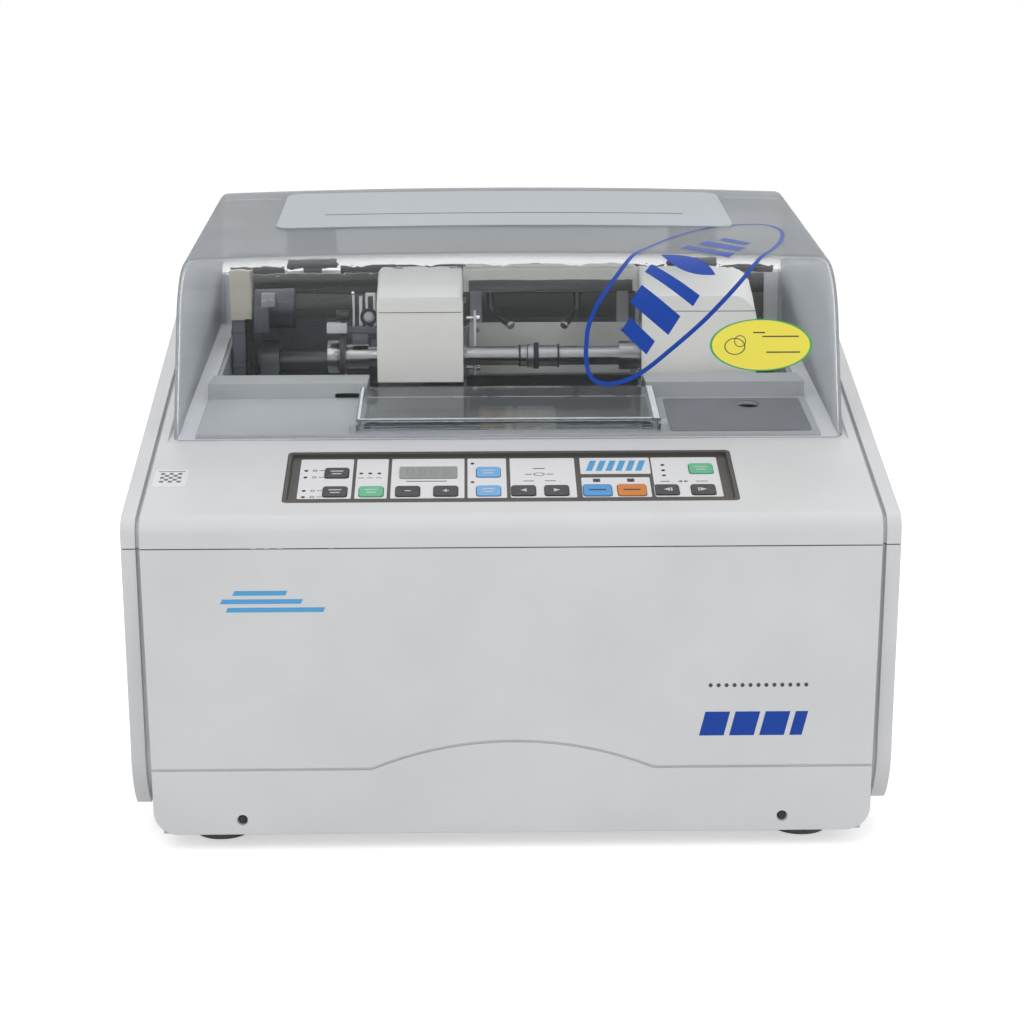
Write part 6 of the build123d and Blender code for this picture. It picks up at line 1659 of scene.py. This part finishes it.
    def _splash_edges(self) -> None:
        """Stands a pale strip off the left splash plate on two thumb knobs, a painted highlight of the
        plate's bright edge.
        """
        strip = Shape().block(*self.splash_highlight_strip, edge=0.4)
        strip.piece("splash_highlight_strip", ACRYLIC_PAINTED_HIGHLIGHT, "carriage", "clear_plate")
        middle = (self.splash_highlight_strip[0][1] + self.splash_highlight_strip[1][1]) / 2
        knobs = Shape()
        for height in self.knob_heights:
            for start, end, radius, edge in self.knob_runs:
                knobs.rod((start, middle, height), (end, middle, height), radius, edge)
        knobs.piece("splash_knobs", STEEL_NICKEL, "carriage", "hinge_steel")

    def _former_bracket(self) -> None:
        """Builds the bracket over the former: its arm, light bar, knob, and the loop with a disc in it."""
        arm, loop, knob = Shape(), Shape(), Shape()
        for block in self.bracket:
            arm.block(*block)
        arm.piece("former_bracket", CAST_ENAMEL, "carriage", "cast_aluminium")
        for block in self.loop:
            loop.block(*block)
        loop.piece("former_loop", ALUMINIUM_TURNED, "carriage", "cast_aluminium")
        ring = Shape().ring(*self.ring, facing_front(*self.ring_at), steps=36, edge=0.4)
        ring.piece("former_ring", NYLON_BLACK, "carriage", "former_black")
        Shape().block(*self.light_bar).piece("former_bar", SHEET_STEEL_COATED, "carriage", "cover_cream")
        for rod in self.knob:
            knob.rod(*rod)
        knob.piece("former_knob", NYLON_BLACK, "carriage", "former_black")
        (x, _, z), (depth, radius, thick) = self.ring_at, self.disc
        disc = Shape().ring(radius, 0, thick, facing_front(x, depth, z), steps=32, edge=0.2)
        disc.piece("former_disc_face", STEEL_GROUND, "carriage", "ground_steel")
        half, slant = self.bright_half, self.bright_slant
        profile = [(0, -half), (slant, -slant), (half, 0), (slant, slant), (0, half)]
        bright = Shape().turned(profile, at(*self.bright), steps=20)
        bright.piece("former_brights", STEEL_NICKEL, "carriage", "ground_steel")


# ------------------------------------------------------------------------------------ lens shafts
@dataclass
class LensShafts:
    """The two shafts that clamp the lens, with the former's chuck at the left."""

    axis: Pair = (62.0, 321.0)                    # depth and height
    collars: tuple[tuple[str, float, float], ...] = (("left_shaft", 11.2, 9.2), ("right_shaft", 43.4, 9.9))
    collar_bore: float = 7.6
    collar_thick: float = 1.8
    knurl_start: float = -147.2
    knurls: int = 24
    knurl_radius: float = 13.1
    knurl: Point = (0.7, 0.9, 8.6)                # height, width and length
    drum_start: float = -147.6
    drum: Point = (13.3, 12.4, 9.4)               # outer radius, bore and length
    rings_at: float = -132.98
    rings: tuple[tuple[float, float, int], ...] = ((17, 16.2, 48), (6, 5.4, 32))  # radii, sides
    ring_thick: float = 0.12

    def build(self) -> None:
        """Dresses the shafts and adds their small pieces."""
        dress(STEEL_TURNED, "left_lens_shaft", "right_lens_shaft", "clamp_quill")
        dress(STEEL_GROUND, "lens_cup")
        dress(NYLON_BLACK, "former_disc")
        dress(RUBBER_PAD, "lens_pad")
        for body, start, radius in self.collars:
            collar = Shape().ring(radius, self.collar_bore, self.collar_thick, self.spot(start), steps=40,
                                  edge=0.3)
            collar.piece(f"{body}_collar", NYLON_BLACK, body, "former_black")
        ribs = Shape()
        for turn in range(self.knurls):
            rib = self.spot(self.knurl_start) @ Matrix.Rotation(turn * math.tau / self.knurls, 4, "Z")
            ribs.plate(*self.knurl, rib @ at(self.knurl_radius, 0))
        ribs.ring(*self.drum, self.spot(self.drum_start), steps=48, edge=0.3)
        ribs.piece("former_knurls", STEEL_TURNED, "left_shaft", "ground_steel")
        marks = Shape()
        for outer, bore, sides in self.rings:
            marks.ring(outer, bore, self.ring_thick, self.spot(self.rings_at), sides)
        marks.piece("former_rings", PRINT_WHITE, "left_shaft", "former_black")

    def spot(self, start: float) -> Matrix:
        """Returns the frame whose z axis runs along the shafts from this place."""
        return basis((start, *self.axis), (0, 1, 0), (1, 0, 0))


# ------------------------------------------------------------------------------------ rear fittings
@dataclass
class RearFittings:
    """The power inlet with its switch, and the hose barbs."""

    inlet: Pair = (190.0, 75.0)
    inlet_flange: float = 2.0
    inlet_screw: float = 26.9                     # from the inlet's middle
    inlet_head: float = 1.6                       # radius of a screw's head
    rocker: Point = (207.0, 79.0, 1.92)           # the mark's place, and off the rear panel
    rocker_mark: Point = (0.9, 3.4, 0.2)
    barbs: tuple[Four, ...] = (                   # across, height, bore and rim
        (-60.0, 120.0, 7.3, 10.4), (75.0, 52.0, 12.3, 15.2))
    barb_flange: float = 3.0
    barb_washer: float = 1.2                      # thickness

    def build(self) -> None:
        """Dresses the fittings at the back and adds their small pieces."""
        dress(NYLON_BLACK, "power_inlet", "power_rocker", "coolant_fittings")
        x, z = self.inlet
        screws = Shape()
        for side in (-1, 1):
            seat = REAR @ at(-x + side * self.inlet_screw, z, self.inlet_flange + PROUD)
            screws.screw(self.inlet_head, seat, slot=0.5 + side)
        screws.piece("inlet_screws", STEEL_PLATED, "casing", "hinge_steel")
        x, z, off = self.rocker
        mark = Shape().plate(*self.rocker_mark, REAR @ at(-x, z, off))
        mark.piece("rocker_mark", PRINT_WHITE, "rocker", "former_black")
        washers = Shape()
        for across, height, bore, rim in self.barbs:
            seat = REAR @ at(-across, height, self.barb_flange + PROUD)
            washers.ring(rim, bore, self.barb_washer, seat, steps=48, edge=0.25)
        washers.piece("barb_washers", STEEL_PLATED, "casing", "hinge_steel")


# ------------------------------------------------------------------------------------ studio
@dataclass(frozen=True)
class Softbox:
    """A square light: its name, place, size and power."""

    name: str
    place: Point
    size: float
    watts: float


@dataclass
class Studio:
    """Pale floor, soft lights and the camera at the photograph's angle."""

    distance: float = 1658.0                      # of the camera from the casing's front
    height: float = 606.0
    pitch: float = math.radians(12.0)
    yaw: float = math.radians(1.0)
    roll: float = math.radians(-0.15)
    focal_px: float = 2374.0
    frame_px: float = 1024.0
    sensor: float = 36.0
    ambient: float = 0.62
    floor_size: float = 24000.0
    aim: Point = (0, 0, 200)
    lights: tuple[Softbox, ...] = (
        Softbox("key_softbox", (-900, -1700, 2100), 1800, 15.0),
        Softbox("top_softbox", (200, 300, 2400), 2200, 14.0),
        Softbox("fill_softbox", (1700, -1500, 900), 1500, 7.0))

    def build(self) -> None:
        """Makes the floor, world, lights and camera."""
        self._floor()
        self._world()
        for softbox in self.lights:
            self._light(softbox)
        self._camera()

    def _floor(self) -> None:
        """Lays a wide sheet of white paper."""
        sheet = Shape().plate(self.floor_size, self.floor_size, 1, at(0, 0, -1))
        sheet.loose("floor_paper", PAPER)

    def _world(self) -> None:
        """Makes the world plain white where it is seen, and dimmer as a light."""
        world = bpy.data.worlds.new("studio")
        bpy.context.scene.world = world
        world.use_nodes = True
        tree = world.node_tree
        tree.nodes.clear()
        white = (1, 1, 1, 1)
        bright = add_node(tree, "ShaderNodeBackground", {"Color": white, "Strength": 1.0})
        dim = add_node(tree, "ShaderNodeBackground", {"Color": white, "Strength": self.ambient})
        mix = add_node(tree, "ShaderNodeMixShader", {0: seen_plainly(tree), 1: dim.outputs["Background"],
                                                     2: bright.outputs["Background"]})
        add_node(tree, "ShaderNodeOutputWorld", {"Surface": mix.outputs["Shader"]})

    def _light(self, softbox: Softbox) -> None:
        """Adds a square softbox that faces the object.

        Args:
            softbox: what it is like.
        """
        lamp = bpy.data.lights.new(softbox.name, "AREA")
        lamp.shape = "SQUARE"
        lamp.size = softbox.size * MM
        lamp.energy = softbox.watts
        box = bpy.data.objects.new(softbox.name, lamp)
        bpy.context.scene.collection.objects.link(box)
        box.location = Vector(softbox.place) * MM
        box.rotation_euler = (Vector(self.aim) - Vector(softbox.place)).to_track_quat("-Z", "Y").to_euler()

    def _camera(self) -> None:
        """Stands the camera where the photograph was taken."""
        data = bpy.data.cameras.new("camera")
        data.sensor_width = self.sensor
        data.lens = self.focal_px * data.sensor_width / self.frame_px
        data.clip_end = 100.0
        camera = bpy.data.objects.new("camera", data)
        bpy.context.scene.collection.objects.link(camera)
        spot = Vector((-self.distance * math.sin(self.yaw), FRONT - self.distance * math.cos(self.yaw),
                       self.height)) * MM
        camera.matrix_world = (Matrix.Translation(spot) @ Matrix.Rotation(-self.yaw, 4, "Z")
                               @ Matrix.Rotation(math.pi / 2 - self.pitch, 4, "X")
                               @ Matrix.Rotation(self.roll, 4, "Z"))
        bpy.context.scene.camera = camera


def main() -> None:
    """Builds every sub-assembly in order."""
    logging.basicConfig(level=logging.INFO, format="%(name)s: %(message)s")
    for part in (Casing(), KeyPanel(), Lid(), Bay(), Carriage(), LensShafts(), RearFittings(), Studio()):
        part.build()
        log.info("built %s", type(part).__name__)
    bpy.context.scene.view_settings.view_transform = "Standard"


if __name__ == "__main__":
    main()
